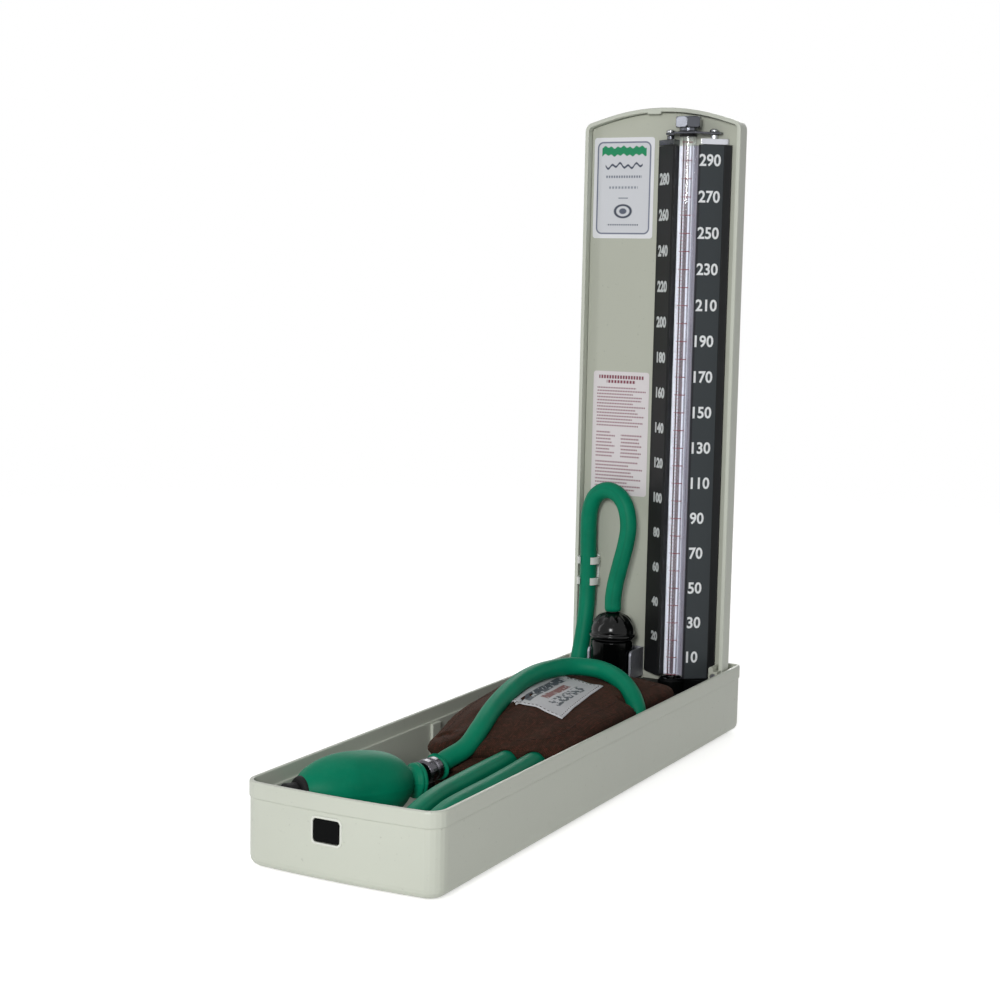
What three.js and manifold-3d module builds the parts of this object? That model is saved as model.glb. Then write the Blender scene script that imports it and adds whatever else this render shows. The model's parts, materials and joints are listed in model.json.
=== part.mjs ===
// Mercury sphygmomanometer in a two-part moulded case, standing open with its lid upright.
// Millimetres, +Z up. X is the case's width and Y its length, with the lid at the +Y end.
// The origin is the middle of the footprint, on the surface that the feet stand on.

import * as THREE from 'three';
import { mergeVertices } from 'three/addons/utils/BufferGeometryUtils.js';
import Module from 'manifold-3d';

const wasm = await Module();
wasm.setup();

// Driving dimensions: fits.
const seat = 0.3; // between pieces that rest on each other
const slack = 0.6; // on each side of the closed lid

// Driving dimensions: case bottom.
const trayLength = 350;
const trayWidth = 98;
const trayHeight = 38;
const trayWall = 2.5;
const trayFloor = 2.5;
const bandHeight = 7; // rim band, where the lid drops in
const bandStep = 0.5; // the band stands out from the wall by this much
const bandWall = 2;
const frontCorner = 9;
const rearCorner = 4;
const frontBow = 1.5;
const bottomRound = 4.5;
const rimRound = 0.8;
const ribWidth = 8; // upright rib on each side wall, under the closed lid's rim
const ribProud = 1.4;
const ribFromFront = 164;

// Driving dimensions: rubber feet.
const footRadius = 5;
const footProud = 1;
const footSunk = 0.8;
const footInset = 13; // from the case's side to a foot's centre
const footFromEnd = 22;

// Driving dimensions: lid and hinge. The lid's own frame has its origin on the hinge axis.
const hingeBelowRim = 9.25;
const heelClearance = 2.05; // under the lid's rounded heel
const rearClearance = 3.05; // from the heel to the case's rear face
const lidDepth = 12.6;
const lidWall = 2.2;
const lidArch = 7.4;
const lidCorner = 5;
const lidEdgeRound = 3.5;
const lugRadius = 5;
const pinRadius = 2;
const pinSocket = 1; // how deep the pin enters the case's wall
const hingeBlockWidth = 5.2;
const hingePostWidth = 2.6;
const hingeScrewRecess = 2; // radius of the screw's hole in a hinge block
const hingeScrewInset = 2.5;
const hingePostTop = 12.2;
const hingePlateTop = 9.6;

// Driving dimensions: inner panel.
const panelRecess = 4.95; // below the lid's rim
const panelThickness = 1.5;

// Driving dimensions: scale and tube, on the panel.
const tubeX = 17.6;
const tubeRadius = 4.75;
const boreRadius = 2.1;
const channelWidth = 14;
const channelDepth = 7.5;
const ridgeWidth = 1.2;
const slopeDepth = 9.95;
const scaleFlange = 2; // flat strip along the right slope's foot
const scaleToHinge = 0.3;
const scaleToBracket = 0.4;
const scaleSkin = 1.4;
const zeroAboveHinge = 5.75;
const scaleFoot = 2.2; // scale below the zero mark
const scaleTopRoom = 20.8; // from the scale's top to the lid's
const capThickness = 3;
const backingThickness = 0.6;
const backingWidth = 11;
const bridgeThickness = 1.2;
const bridgeWidth = 31.7;
const bridgeReach = 13.5;
const bridgeRise = 2.4; // bridge above the scale's end caps
const gasketThickness = 1;
const nutRadius = 7.6;
const nutHeight = 6;
const nutCollar = 1.9;
const nutStem = 3;

// Driving dimensions: mercury reservoir and the block that joins it to the tube.
const reservoirFromSide = 32;
const reservoirStandoff = 14.2; // axis in front of the panel
const reservoirRadius = 12;
const reservoirHeight = 27;
const capFlange = 13.25;
const capDome = 16.4;
const capNipple = 1.6; // the hose's nipple on the dome
const capFlutes = 12;
const manifoldTop = -4.75; // in the lid's frame
const manifoldHeight = 10.5;
const manifoldRadius = 13;
const manifoldToe = 9.2; // radius round the tube
const manifoldTab = 7; // screw tabs beyond the block's round ends
const manifoldTabThickness = 3;
const shoulderDepth = 9.2; // shoulders under the scale, in front of the panel
const shoulderDrop = 4; // left shoulder below the scale
const glandRadius = 7.4;
const bracketThickness = 1.2;
const bracketFoot = 5; // bracket above the reservoir's foot
const bracketHeight = 16.5;
const bracketReach = 4; // in front of the reservoir's axis

// Driving dimensions: hoses and the clip on the panel.
const hoseRadius = 4.7;
const clipFromSide = 12.1;
const clipStandoff = 6.3; // hose's centre in front of the panel
const clipBottom = 80;
const clipHeight = 16;
const clipClaw = 4;
const clipSkin = 1.3;

// Driving dimensions: latch.
const latchX = -4.6;
const latchBelowRim = 15.6;
const buttonWidth = 12.8;
const buttonHeight = 9.6;
const windowBevel = 1.2; // round the button's window
const springWire = 0.8;
const springTurns = 4;
const springRadius = 3.4;
const catchDepth = 1.2;
const catchWidth = 8;

// Driving dimensions: squeeze bulb with its two valves.
const bulbRadius = 17;
const bulbTail = 34;
const bulbNeck = 27;
const bulbFromFront = 53;
const bulbFromSide = 27.5;
const bulbHeight = 27;
const bulbTurn = 64; // degrees from +X towards +Y
const bulbDip = 0.06; // fall for each millimetre towards the neck
const tailRadius = 4.6;
const tailLength = 8;
const valveRadius = 6;
const valveLength = 11.6;
const valveFromBulb = new THREE.Vector3(13.6, 44.6, 0.2); // valve's hose end from the bulb's middle
const thumbRadius = 4.4;
const thumbLength = 8.2;
const thumbBack = 6.4; // thumb screw behind the valve's hose end
const thumbBoss = 8.4; // boss below the valve's axis

// Driving dimensions: folded cuff.
const cuffBottom = 12.7;
const cuffCrown = 47;

// Half the case's width that the soft pieces' routes are drawn for. Towards the sides they keep
// their distance from the walls.
const drawnHalf = 49;

// Worked out from the sizes above.
const halfWidth = trayWidth / 2;
const ledgeZ = trayHeight - bandHeight;
const lowerInset = bandStep + trayWall;
const innerHalf = halfWidth - lowerInset;
const frontInner = -(trayLength - lowerInset);
const hingeHeight = trayHeight - hingeBelowRim;
const heelRadius = hingeHeight - trayFloor - heelClearance;
const hingeSetback = heelRadius + rearClearance;
const hinge = new THREE.Vector3(0, -hingeSetback, hingeHeight);
const latchZ = trayHeight - latchBelowRim;
const reservoirX = reservoirFromSide - halfWidth;
const clipX = clipFromSide - halfWidth;
const lidHalf = halfWidth - bandWall - slack;
const lidRim = ledgeZ + seat - hingeHeight;
const lidBack = lidRim + lidDepth;
const lidTop = trayLength - bandWall - seat - 0.2 - hingeSetback;
const panelFront = lidRim + panelRecess;
const panelBack = panelFront + panelThickness;
const onPanel = panelFront - seat;
const ridgeY = onPanel - slopeDepth;
const channelFloor = ridgeY + channelDepth;
const channelLeft = tubeX - channelWidth / 2;
const channelRight = tubeX + channelWidth / 2;
const scaleLeft = reservoirX + reservoirRadius + seat + bracketThickness + scaleToBracket;
const flangeRight = innerHalf - seat - hingeBlockWidth - scaleToHinge;
const scaleRight = flangeRight - scaleFlange;
const slopeLeft = channelLeft - ridgeWidth - scaleLeft;
const slopeRight = scaleRight - channelRight - ridgeWidth;
const backingFront = channelFloor - seat - backingThickness;
const tubeY = backingFront - 0.25 - tubeRadius;
const scaleBottom = zeroAboveHinge - scaleFoot;
const scaleTop = lidTop - scaleTopRoom;
const capBottom = scaleTop + seat;
const capTop = capBottom + capThickness;
const bridgeBottom = capTop + bridgeRise;
const bridgeTop = bridgeBottom + bridgeThickness;
const gasketTop = bridgeBottom - seat;
const tubeTop = gasketTop - gasketThickness - seat;
const reservoirY = onPanel - reservoirStandoff;
const clipY = onPanel - clipStandoff;
const pocketFront = -(hingeSetback + lugRadius + 1);
const pinReach = halfWidth - bandWall + pinSocket;

// Finishes.
function finish(color, roughness, metalness = 0) {
  return new THREE.MeshStandardMaterial({ color, roughness, metalness });
}
const caseFinish = finish(0xb9bdae, 0.45);
const panelFinish = finish(0xa9ac9c, 0.5);
const blackGloss = finish(0x0a0b0b, 0.12);
const blackSatin = finish(0x101312, 0.4);
const scaleFinish = finish(0x2c3133, 0.45);
const whiteFinish = finish(0xe8e8e6, 0.5);
const chromeFinish = finish(0xc9ccce, 0.15, 1);
const steelFinish = finish(0x8b8f95, 0.35, 1);
const hoseFinish = finish(0x0c7052, 0.5);
const clothFinish = finish(0x3c2820, 0.9);
const rubberFinish = finish(0x1b1b1b, 0.8);
const glassFinish = new THREE.MeshStandardMaterial({
  color: 0xe6eef0, roughness: 0.05, transparent: true, opacity: 0.35,
});
const mercuryFinish = finish(0xd5d8dc, 0.08, 1);

// Geometry helpers. Every piece passes through solidMesh, so its faces point outwards.
function signedVolume(geometry) {
  const at = geometry.getAttribute('position');
  const index = geometry.getIndex().array;
  const a = new THREE.Vector3();
  const b = new THREE.Vector3();
  const c = new THREE.Vector3();
  let sum = 0;
  for (let i = 0; i < index.length; i += 3) {
    a.fromBufferAttribute(at, index[i]);
    b.fromBufferAttribute(at, index[i + 1]);
    c.fromBufferAttribute(at, index[i + 2]);
    sum += a.dot(b.cross(c)) / 6;
  }
  return sum;
}

function closed(geometry) {
  const bare = geometry.clone();
  bare.deleteAttribute('normal');
  bare.deleteAttribute('uv');
  const merged = mergeVertices(bare, 1e-4);
  const index = merged.getIndex().array;
  const kept = [];
  for (let i = 0; i < index.length; i += 3) {
    const [a, b, c] = [index[i], index[i + 1], index[i + 2]];
    if (a !== b && b !== c && c !== a) kept.push(a, b, c);
  }
  merged.setIndex(kept);
  if (signedVolume(merged) < 0) {
    for (let i = 0; i < kept.length; i += 3) [kept[i], kept[i + 1]] = [kept[i + 1], kept[i]];
    merged.setIndex(kept);
  }
  return merged;
}

function toSolid(geometry) {
  const shape = closed(geometry);
  const vertProperties = new Float32Array(shape.getAttribute('position').array);
  const triVerts = new Uint32Array(shape.getIndex().array);
  return new wasm.Manifold(new wasm.Mesh({ numProp: 3, vertProperties, triVerts }));
}

function fromSolid(solid) {
  const { vertProperties, triVerts } = solid.getMesh();
  const geometry = new THREE.BufferGeometry();
  geometry.setAttribute('position', new THREE.BufferAttribute(vertProperties, 3));
  geometry.setIndex(new THREE.BufferAttribute(triVerts, 1));
  return geometry;
}

function combine(how, first, rest) {
  return fromSolid(rest.reduce((solid, piece) => solid[how](toSolid(piece)), toSolid(first)));
}
const cut = (first, ...rest) => combine('subtract', first, rest);
const join = (first, ...rest) => combine('add', first, rest);
const common = (first, ...rest) => combine('intersect', first, rest);

function block(x0, x1, y0, y1, z0, z1) {
  const box = new THREE.BoxGeometry(x1 - x0, y1 - y0, z1 - z0);
  return box.translate((x0 + x1) / 2, (y0 + y1) / 2, (z0 + z1) / 2);
}

// A flat outline drawn across an axis and pulled along it. Across x it is (y, z), across y (x, z).
function prism(outline, axis, from, to) {
  const shape = new THREE.Shape(outline.map(([a, b]) => new THREE.Vector2(a, b)));
  const body = new THREE.ExtrudeGeometry(shape, { depth: to - from, bevelEnabled: false });
  body.translate(0, 0, from);
  const turn = new THREE.Matrix4();
  if (axis === 'x') turn.set(0, 0, 1, 0, 1, 0, 0, 0, 0, 1, 0, 0, 0, 0, 0, 1);
  if (axis === 'y') turn.set(1, 0, 0, 0, 0, 0, 1, 0, 0, 1, 0, 0, 0, 0, 0, 1);
  return body.applyMatrix4(turn);
}

function rod(axis, radius, from, to, a, b, sides = 24) {
  const body = new THREE.CylinderGeometry(radius, radius, to - from, sides);
  const middle = (from + to) / 2;
  if (axis === 'x') return body.rotateZ(Math.PI / 2).translate(middle, a, b);
  if (axis === 'z') return body.rotateX(Math.PI / 2).translate(a, b, middle);
  return body.translate(a, middle, b);
}

// A profile of (radius, height) points turned round the Z axis.
function turned(profile, sides = 24) {
  const points = profile.map(([r, z]) => new THREE.Vector2(r, z));
  return new THREE.LatheGeometry(points, sides).rotateX(Math.PI / 2);
}

// A skin over rings of equally many points, closed by a fan at each end.
function loft(rings) {
  const count = rings[0].length;
  const flat = rings.flat();
  const position = flat.flatMap((p) => [p.x, p.y, p.z]);
  const index = [];
  for (let k = 0; k + 1 < rings.length; k += 1) {
    for (let i = 0; i < count; i += 1) {
      const a = k * count + i;
      const b = k * count + ((i + 1) % count);
      index.push(a, b, a + count, b, b + count, a + count);
    }
  }
  for (const [ring, start] of [[rings[0], 0], [rings.at(-1), flat.length - count]]) {
    const middle = new THREE.Vector3();
    ring.forEach((p) => middle.add(p));
    middle.divideScalar(count);
    const tip = position.length / 3;
    position.push(middle.x, middle.y, middle.z);
    for (let i = 0; i < count; i += 1) {
      const [a, b] = [start + i, start + ((i + 1) % count)];
      if (start) index.push(a, b, tip);
      else index.push(b, a, tip);
    }
  }
  const geometry = new THREE.BufferGeometry();
  geometry.setAttribute('position', new THREE.Float32BufferAttribute(position, 3));
  return geometry.setIndex(index);
}

// A round tube along a curve.
function tube(curve, radius, sides, steps) {
  const ring = [];
  for (let i = 0; i < sides; i += 1) {
    const angle = (2 * Math.PI * i) / sides;
    ring.push(new THREE.Vector2(radius * Math.cos(angle), radius * Math.sin(angle)));
  }
  const options = { steps, bevelEnabled: false, extrudePath: curve };
  return new THREE.ExtrudeGeometry(new THREE.Shape(ring), options);
}

// Points of an arc, from and to in degrees, both ends included.
function arc(cx, cy, radius, from, to, steps) {
  const points = [];
  for (let i = 0; i <= steps; i += 1) {
    const angle = THREE.MathUtils.degToRad(from + ((to - from) * i) / steps);
    points.push([cx + radius * Math.cos(angle), cy + radius * Math.sin(angle)]);
  }
  return points;
}

const group = new THREE.Group();
const bottom = new THREE.Group();
bottom.position.set(0, trayLength / 2, footProud);
group.add(bottom);
const lid = new THREE.Group();
lid.position.copy(hinge);
bottom.add(lid);

function solidMesh(parent, name, geometry, material) {
  const mesh = new THREE.Mesh(closed(geometry), material.clone());
  mesh.name = name;
  parent.add(mesh);
  return mesh;
}

// Case bottom: its outline in plan, drawn in from the rim by an inset.
function trayOutline(inset) {
  const half = halfWidth - inset;
  const front = -trayLength + inset;
  const frontRadius = Math.max(frontCorner - inset, 1);
  const rearRadius = Math.max(rearCorner - inset, 0.5);
  const straight = half - frontRadius;
  const outline = [];
  const bowSteps = 8;
  for (let i = 0; i <= bowSteps; i += 1) {
    const across = -1 + (2 * i) / bowSteps;
    outline.push([across * straight, front + frontBow * across * across]);
  }
  const cornerY = front + frontBow + frontRadius;
  outline.push(...arc(straight, cornerY, frontRadius, -90, 0, 6).slice(1));
  outline.push(...arc(half - rearRadius, -inset - rearRadius, rearRadius, 0, 90, 5));
  outline.push(...arc(rearRadius - half, -inset - rearRadius, rearRadius, 90, 180, 5));
  outline.push(...arc(-straight, cornerY, frontRadius, 180, 270, 6).slice(0, -1));
  return outline;
}

function trayLoft(levels) {
  return loft(levels.map(([z, inset]) => trayOutline(inset).map(([x, y]) => new THREE.Vector3(x, y, z))));
}

// A quarter round as (height, inset) levels, from the flat up to the upright wall.
function roundLevels(radius, z, inset, steps) {
  return arc(radius, radius, radius, 270, 180, steps).map(([a, b]) => [z + b, inset + a]);
}

function makeTray() {
  const outer = trayLoft([
    ...roundLevels(bottomRound, 0, bandStep, 4),
    [ledgeZ - 0.6, bandStep],
    [ledgeZ, 0],
    [trayHeight - rimRound, 0],
    [trayHeight - 0.3 * rimRound, 0.3 * rimRound],
    [trayHeight, rimRound],
  ]);
  const hollow = trayLoft([...roundLevels(2, trayFloor, lowerInset, 3), [ledgeZ + 1, lowerInset]]);
  const band = trayLoft([
    [ledgeZ, bandWall],
    [trayHeight - 0.5, bandWall],
    [trayHeight + 1, bandWall - 0.9],
  ]);
  const side = halfWidth - bandWall;
  const pocket = block(-side, side, pocketFront, -2.2, trayFloor + 0.5, trayHeight + 1);
  const ribs = [-1, 1].map((way) => {
    const [a, b] = [way * (innerHalf - ribProud), way * (innerHalf + 0.5)];
    const y = -trayLength + ribFromFront;
    return block(Math.min(a, b), Math.max(a, b), y - ribWidth / 2, y + ribWidth / 2, 1, ledgeZ - 1);
  });
  const sockets = rod('x', pinRadius + seat, -pinReach, pinReach, hinge.y, hinge.z, 20);
  const footHoles = footPlaces().map(([x, y]) => rod('z', footRadius + seat, -1, footSunk, x, y));
  const window = prism(
    roundedBox(latchX, latchZ, buttonWidth + 2 * seat, buttonHeight + 2 * seat, 1.6),
    'y', -trayLength - 1, frontInner + frontBow + 1,
  );
  const bevel = loft([[-0.3, windowBevel + 0.3], [windowBevel, 0]].map(([depth, spread]) => {
    const [width, height] = [buttonWidth + 2 * seat + 2 * spread, buttonHeight + 2 * seat + 2 * spread];
    return roundedBox(latchX, latchZ, width, height, 1.6 + spread).map(([x, z]) => (
      new THREE.Vector3(x, depth - trayLength, z)));
  }));
  const shell = cut(outer, hollow, band, pocket);
  return cut(join(shell, ...ribs), sockets, window, bevel, ...footHoles);
}

function roundedBox(cx, cz, width, height, radius, steps = 3) {
  const [w, h] = [width / 2 - radius, height / 2 - radius];
  return [
    ...arc(cx + w, cz - h, radius, -90, 0, steps),
    ...arc(cx + w, cz + h, radius, 0, 90, steps),
    ...arc(cx - w, cz + h, radius, 90, 180, steps),
    ...arc(cx - w, cz - h, radius, 180, 270, steps),
  ];
}

function footPlaces() {
  const x = halfWidth - footInset;
  const rows = [-footFromEnd, footFromEnd - trayLength];
  return rows.flatMap((y) => [[-x, y], [x, y]]);
}

solidMesh(bottom, 'base_tray', makeTray(), caseFinish);
footPlaces().forEach(([x, y], i) => {
  const top = footSunk - seat;
  const profile = [
    [0, top], [footRadius, top], [footRadius, -0.4], [footRadius - 0.6, -footProud], [0, -footProud],
  ];
  solidMesh(bottom, `foot_${i + 1}`, turned(profile, 20).translate(x, y, 0), rubberFinish);
});

// Lid shell, in the lid's frame: its outline seen from the front, drawn in by an inset.
function lidOutline(inset) {
  const half = lidHalf - inset;
  const corner = Math.max(lidCorner - inset, 0.6);
  const heelCorner = Math.max(2 - inset, 0.5);
  const top = lidTop - inset;
  const straight = half - corner;
  const outline = [];
  outline.push(...arc(half - heelCorner, inset - heelRadius + heelCorner, heelCorner, -90, 0, 3));
  outline.push(...arc(straight, top - lidArch - corner, corner, 0, 80, 5));
  const archSteps = 12;
  for (let i = 1; i < archSteps; i += 1) {
    const across = 1 - (2 * i) / archSteps;
    outline.push([across * straight, top - lidArch * across * across]);
  }
  outline.push(...arc(-straight, top - lidArch - corner, corner, 100, 180, 5));
  outline.push(...arc(heelCorner - half, inset - heelRadius + heelCorner, heelCorner, 180, 270, 3));
  return outline;
}

function lidLoft(levels) {
  return loft(levels.map(([y, inset]) => lidOutline(inset).map(([x, z]) => new THREE.Vector3(x, y, z))));
}

// What a wall of the given radius round the hinge axis leaves of the lid's lower end.
function withinHeel(geometry, radius) {
  const above = block(-halfWidth, halfWidth, -radius, lidBack + 1, 0, lidTop + 1);
  return common(geometry, join(above, rod('x', radius, -halfWidth, halfWidth, 0, 0, 56)));
}

const panelBosses = [[-30, 40], [30, 40], [-30, lidTop - 40], [30, lidTop - 40]];

function makeLid() {
  const edge = roundLevels(lidEdgeRound, 0, 0, 4).map(([z, inset]) => [lidBack - z, inset]);
  const outer = lidLoft([[lidRim, 0.4], [lidRim + 0.4, 0], ...edge.reverse()]);
  const back = lidBack - lidWall;
  const hollow = lidLoft([[lidRim - 1, lidWall], [back - 1.5, lidWall], [back, lidWall + 1.5]]);
  const shell = cut(withinHeel(outer, heelRadius), withinHeel(hollow, heelRadius - lidWall));
  const bosses = panelBosses.map(([x, z]) => rod('y', 3.5, panelBack + seat, back + 0.5, x, z, 16));
  const endWall = lidTop - lidWall;
  const lip = block(
    latchX - catchWidth / 2, latchX + catchWidth / 2,
    lidRim, lidRim + 1.3, endWall - catchDepth, endWall + 0.4,
  );
  return join(shell, ...bosses, lip);
}

function makePanel() {
  const inset = lidWall + seat;
  const outline = lidOutline(inset);
  const sheet = prism(outline, 'y', panelFront, panelBack);
  return withinHeel(sheet, heelRadius - lidWall - 0.5);
}

solidMesh(lid, 'lid_shell', makeLid(), caseFinish);
solidMesh(lid, 'lid_panel', makePanel(), panelFinish);

// Hinge blocks in the lid's lower corners, each with a pin that turns in the case's wall.
const hingeBlockFront = -3.2;
const hingeScrewZ = hingePlateTop - 3.1;

function makeHingeBlock(way) {
  const inside = lidHalf - lidWall - seat;
  const outside = innerHalf - seat;
  const start = outside - hingeBlockWidth;
  const screwX = outside - hingeScrewInset;
  const front = hingeBlockFront;
  const behind = lidRim - seat;
  const postTop = hingePostTop - hingePostWidth / 2;
  const post = join(
    block(start, start + hingePostWidth, front, onPanel, -7, postTop),
    rod('y', hingePostWidth / 2, front, onPanel, start + hingePostWidth / 2, postTop, 20),
  );
  const web = block(start + hingePostWidth - 0.1, inside, front, onPanel, -7, hingePlateTop - 2);
  const plate = block(start + hingePostWidth - 0.1, outside, front, behind, -4, hingePlateTop);
  const lug = common(
    rod('x', lugRadius, start, outside, 0, 0, 28),
    join(block(start, inside, -9, 9, -9, 9), block(start, outside, -9, behind, -9, 9)),
  );
  const bore = rod('x', pinRadius + seat, start + 1, outside + 1, 0, 0, 20);
  const recess = rod('y', hingeScrewRecess, front - 1, front + 1.5, screwX, hingeScrewZ, 20);
  const screwHole = rod('y', 1.3, front, front + 5.2, screwX, hingeScrewZ, 12);
  const body = cut(join(post, web, plate, lug), bore, recess, screwHole);
  return way < 0 ? body.scale(-1, 1, 1) : body;
}

function makeHingeScrew(way) {
  const screwX = innerHalf - seat - hingeScrewInset;
  const front = hingeBlockFront;
  const head = rod('y', hingeScrewRecess - seat, front + 0.2, front + 1.2, screwX, hingeScrewZ, 20);
  const shank = rod('y', 1, front + 1, front + 4.9, screwX, hingeScrewZ, 12);
  const body = join(head, shank);
  return way < 0 ? body.scale(-1, 1, 1) : body;
}

for (const [side, way] of [['left', -1], ['right', 1]]) {
  solidMesh(lid, `hinge_block_${side}`, makeHingeBlock(way), panelFinish);
  solidMesh(lid, `hinge_screw_${side}`, makeHingeScrew(way), blackSatin);
  const inner = innerHalf - seat - hingeBlockWidth + 1 + seat;
  const ends = [way * inner, way * (pinReach - seat)].sort((a, b) => a - b);
  solidMesh(lid, `hinge_pin_${side}`, rod('x', pinRadius, ends[0], ends[1], 0, 0, 20), steelFinish);
}

// Scale: a folded strip with a slope of numerals on each side of the tube's channel.
function scaleSection() {
  const slopeInside = (width) => {
    const length = Math.hypot(width, slopeDepth);
    const drop = (scaleSkin * length) / width;
    const foot = (scaleSkin * length) / slopeDepth;
    return { foot, toe: (scaleSkin * width) / slopeDepth, crest: ridgeY + drop };
  };
  const [left, right] = [slopeInside(slopeLeft), slopeInside(slopeRight)];
  const floorBack = channelFloor + ridgeWidth;
  const ridgeLeft = channelLeft - ridgeWidth;
  const ridgeRight = channelRight + ridgeWidth;
  return [
    [scaleLeft, onPanel], [ridgeLeft, ridgeY], [channelLeft, ridgeY],
    [channelLeft, channelFloor], [channelRight, channelFloor], [channelRight, ridgeY],
    [ridgeRight, ridgeY], [scaleRight - right.toe, onPanel - scaleSkin],
    [flangeRight, onPanel - scaleSkin], [flangeRight, onPanel], [scaleRight - right.foot, onPanel],
    [ridgeRight, right.crest], [ridgeRight, floorBack], [ridgeLeft, floorBack],
    [ridgeLeft, left.crest], [scaleLeft + left.foot, onPanel],
  ];
}

function makeScaleCap(way) {
  const ridge = way < 0 ? channelLeft - ridgeWidth : channelRight + ridgeWidth;
  const foot = way < 0 ? scaleLeft : scaleRight;
  const wedge = prism([[ridge, ridgeY], [foot, onPanel], [ridge, onPanel]], 'z', capBottom, capTop);
  const postX = ridge + way * 4.6;
  const post = rod('z', 2, capTop - 1, bridgeBottom - seat, postX, onPanel - 2.6, 16);
  return join(wedge, post);
}

solidMesh(lid, 'scale_plate', prism(scaleSection(), 'z', scaleBottom, scaleTop), scaleFinish);
solidMesh(lid, 'scale_cap_left', makeScaleCap(-1), chromeFinish);
solidMesh(lid, 'scale_cap_right', makeScaleCap(1), chromeFinish);
solidMesh(lid, 'tube_backing', block(
  tubeX - backingWidth / 2, tubeX + backingWidth / 2,
  backingFront, backingFront + backingThickness, scaleBottom + 0.2, scaleTop - 0.2,
), whiteFinish);

// Gland, glass tube, mercury, gaskets, bridge and clamp nut, all on the tube's axis.
const manifoldBottom = manifoldTop - manifoldHeight;
const glandBottom = manifoldTop + seat;
const glandTop = scaleBottom - seat;
const tubeBottom = glandBottom + 3.4;

function ringProfile(inner, outer, from, to) {
  return [[inner, from], [outer, from], [outer, to], [inner, to], [inner, from]];
}

function onTube(geometry) {
  return geometry.translate(tubeX, tubeY, 0);
}

const glandProfile = [
  [boreRadius, glandBottom], [glandRadius, glandBottom], [glandRadius, glandTop - 1.2],
  [glandRadius - 1.2, glandTop], [tubeRadius + seat, glandTop], [tubeRadius + seat, glandBottom + 1.8],
  [boreRadius, glandBottom + 1.8], [boreRadius, glandBottom],
];
solidMesh(lid, 'tube_gland', onTube(turned(glandProfile, 28)), blackSatin);
solidMesh(lid, 'bottom_gasket',
  onTube(turned(ringProfile(boreRadius, tubeRadius, glandBottom + 1.8 + seat, tubeBottom - seat), 20)),
  rubberFinish);
solidMesh(lid, 'glass_tube',
  onTube(turned(ringProfile(boreRadius + 0.3, tubeRadius, tubeBottom, tubeTop), 28)), glassFinish);
const mercuryProfile = [
  [0, tubeBottom], [boreRadius, tubeBottom], [boreRadius, zeroAboveHinge - 0.5],
  [0, zeroAboveHinge],
];
solidMesh(lid, 'mercury_column', onTube(turned(mercuryProfile, 16)), mercuryFinish);
solidMesh(lid, 'top_gasket',
  onTube(turned(ringProfile(boreRadius, tubeRadius, gasketTop - gasketThickness, gasketTop), 20)),
  rubberFinish);

const bridgePosts = [channelLeft - ridgeWidth - 4.6, channelRight + ridgeWidth + 4.6];

function makeBridge() {
  const [left, right] = [tubeX + 1.3 - bridgeWidth / 2, tubeX + 1.3 + bridgeWidth / 2];
  const back = onPanel - 0.2;
  const front = back - bridgeReach;
  const outline = [
    [left, back], [left, back - 5], [left + 5, back - 5], [tubeX - 6.5, front],
    [tubeX + 6.5, front], [right - 5, back - 5], [right, back - 5], [right, back],
  ];
  const plate = prism(outline, 'z', bridgeBottom, bridgeTop);
  const stemHole = rod('z', nutStem + seat, bridgeBottom - 1, bridgeTop + 1, tubeX, tubeY, 20);
  const holes = bridgePosts.map((x) => (
    rod('z', 1.5, bridgeBottom - 1, bridgeTop + 1, x, onPanel - 2.6, 12)));
  return cut(plate, stemHole, ...holes);
}

solidMesh(lid, 'top_bridge', makeBridge(), chromeFinish);
bridgePosts.forEach((x, i) => {
  const profile = [
    [0, bridgeBottom + 0.1], [1.2, bridgeBottom + 0.1], [1.2, bridgeTop + seat], [2.5, bridgeTop + seat],
    [2.5, bridgeTop + 1.2], [1.6, bridgeTop + 1.8], [0, bridgeTop + 1.8],
  ];
  const screw = turned(profile, 16).translate(x, onPanel - 2.6, 0);
  solidMesh(lid, `bridge_screw_${i ? 'right' : 'left'}`, screw, chromeFinish);
});

// Clamp nut: six flats with a turned chamfer, on a collar and a stem through the bridge.
function makeNut() {
  const base = bridgeTop + seat;
  const flats = new THREE.CylinderGeometry(nutRadius, nutRadius, nutHeight, 6);
  flats.rotateX(Math.PI / 2).rotateZ(Math.PI / 12).translate(0, 0, base + nutCollar + nutHeight / 2);
  const round = turned([
    [0, base + nutCollar], [nutRadius - 0.6, base + nutCollar], [nutRadius, base + nutCollar + 1],
    [nutRadius, base + nutCollar + nutHeight - 1], [nutRadius - 0.9, base + nutCollar + nutHeight],
    [0, base + nutCollar + nutHeight],
  ], 36);
  const below = turned([
    [0, gasketTop + seat], [nutStem, gasketTop + seat], [nutStem, base], [5, base],
    [5, base + nutCollar + 0.5], [0, base + nutCollar + 0.5],
  ], 24);
  return onTube(join(common(flats, round), below));
}
solidMesh(lid, 'top_clamp_nut', makeNut(), chromeFinish);

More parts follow.
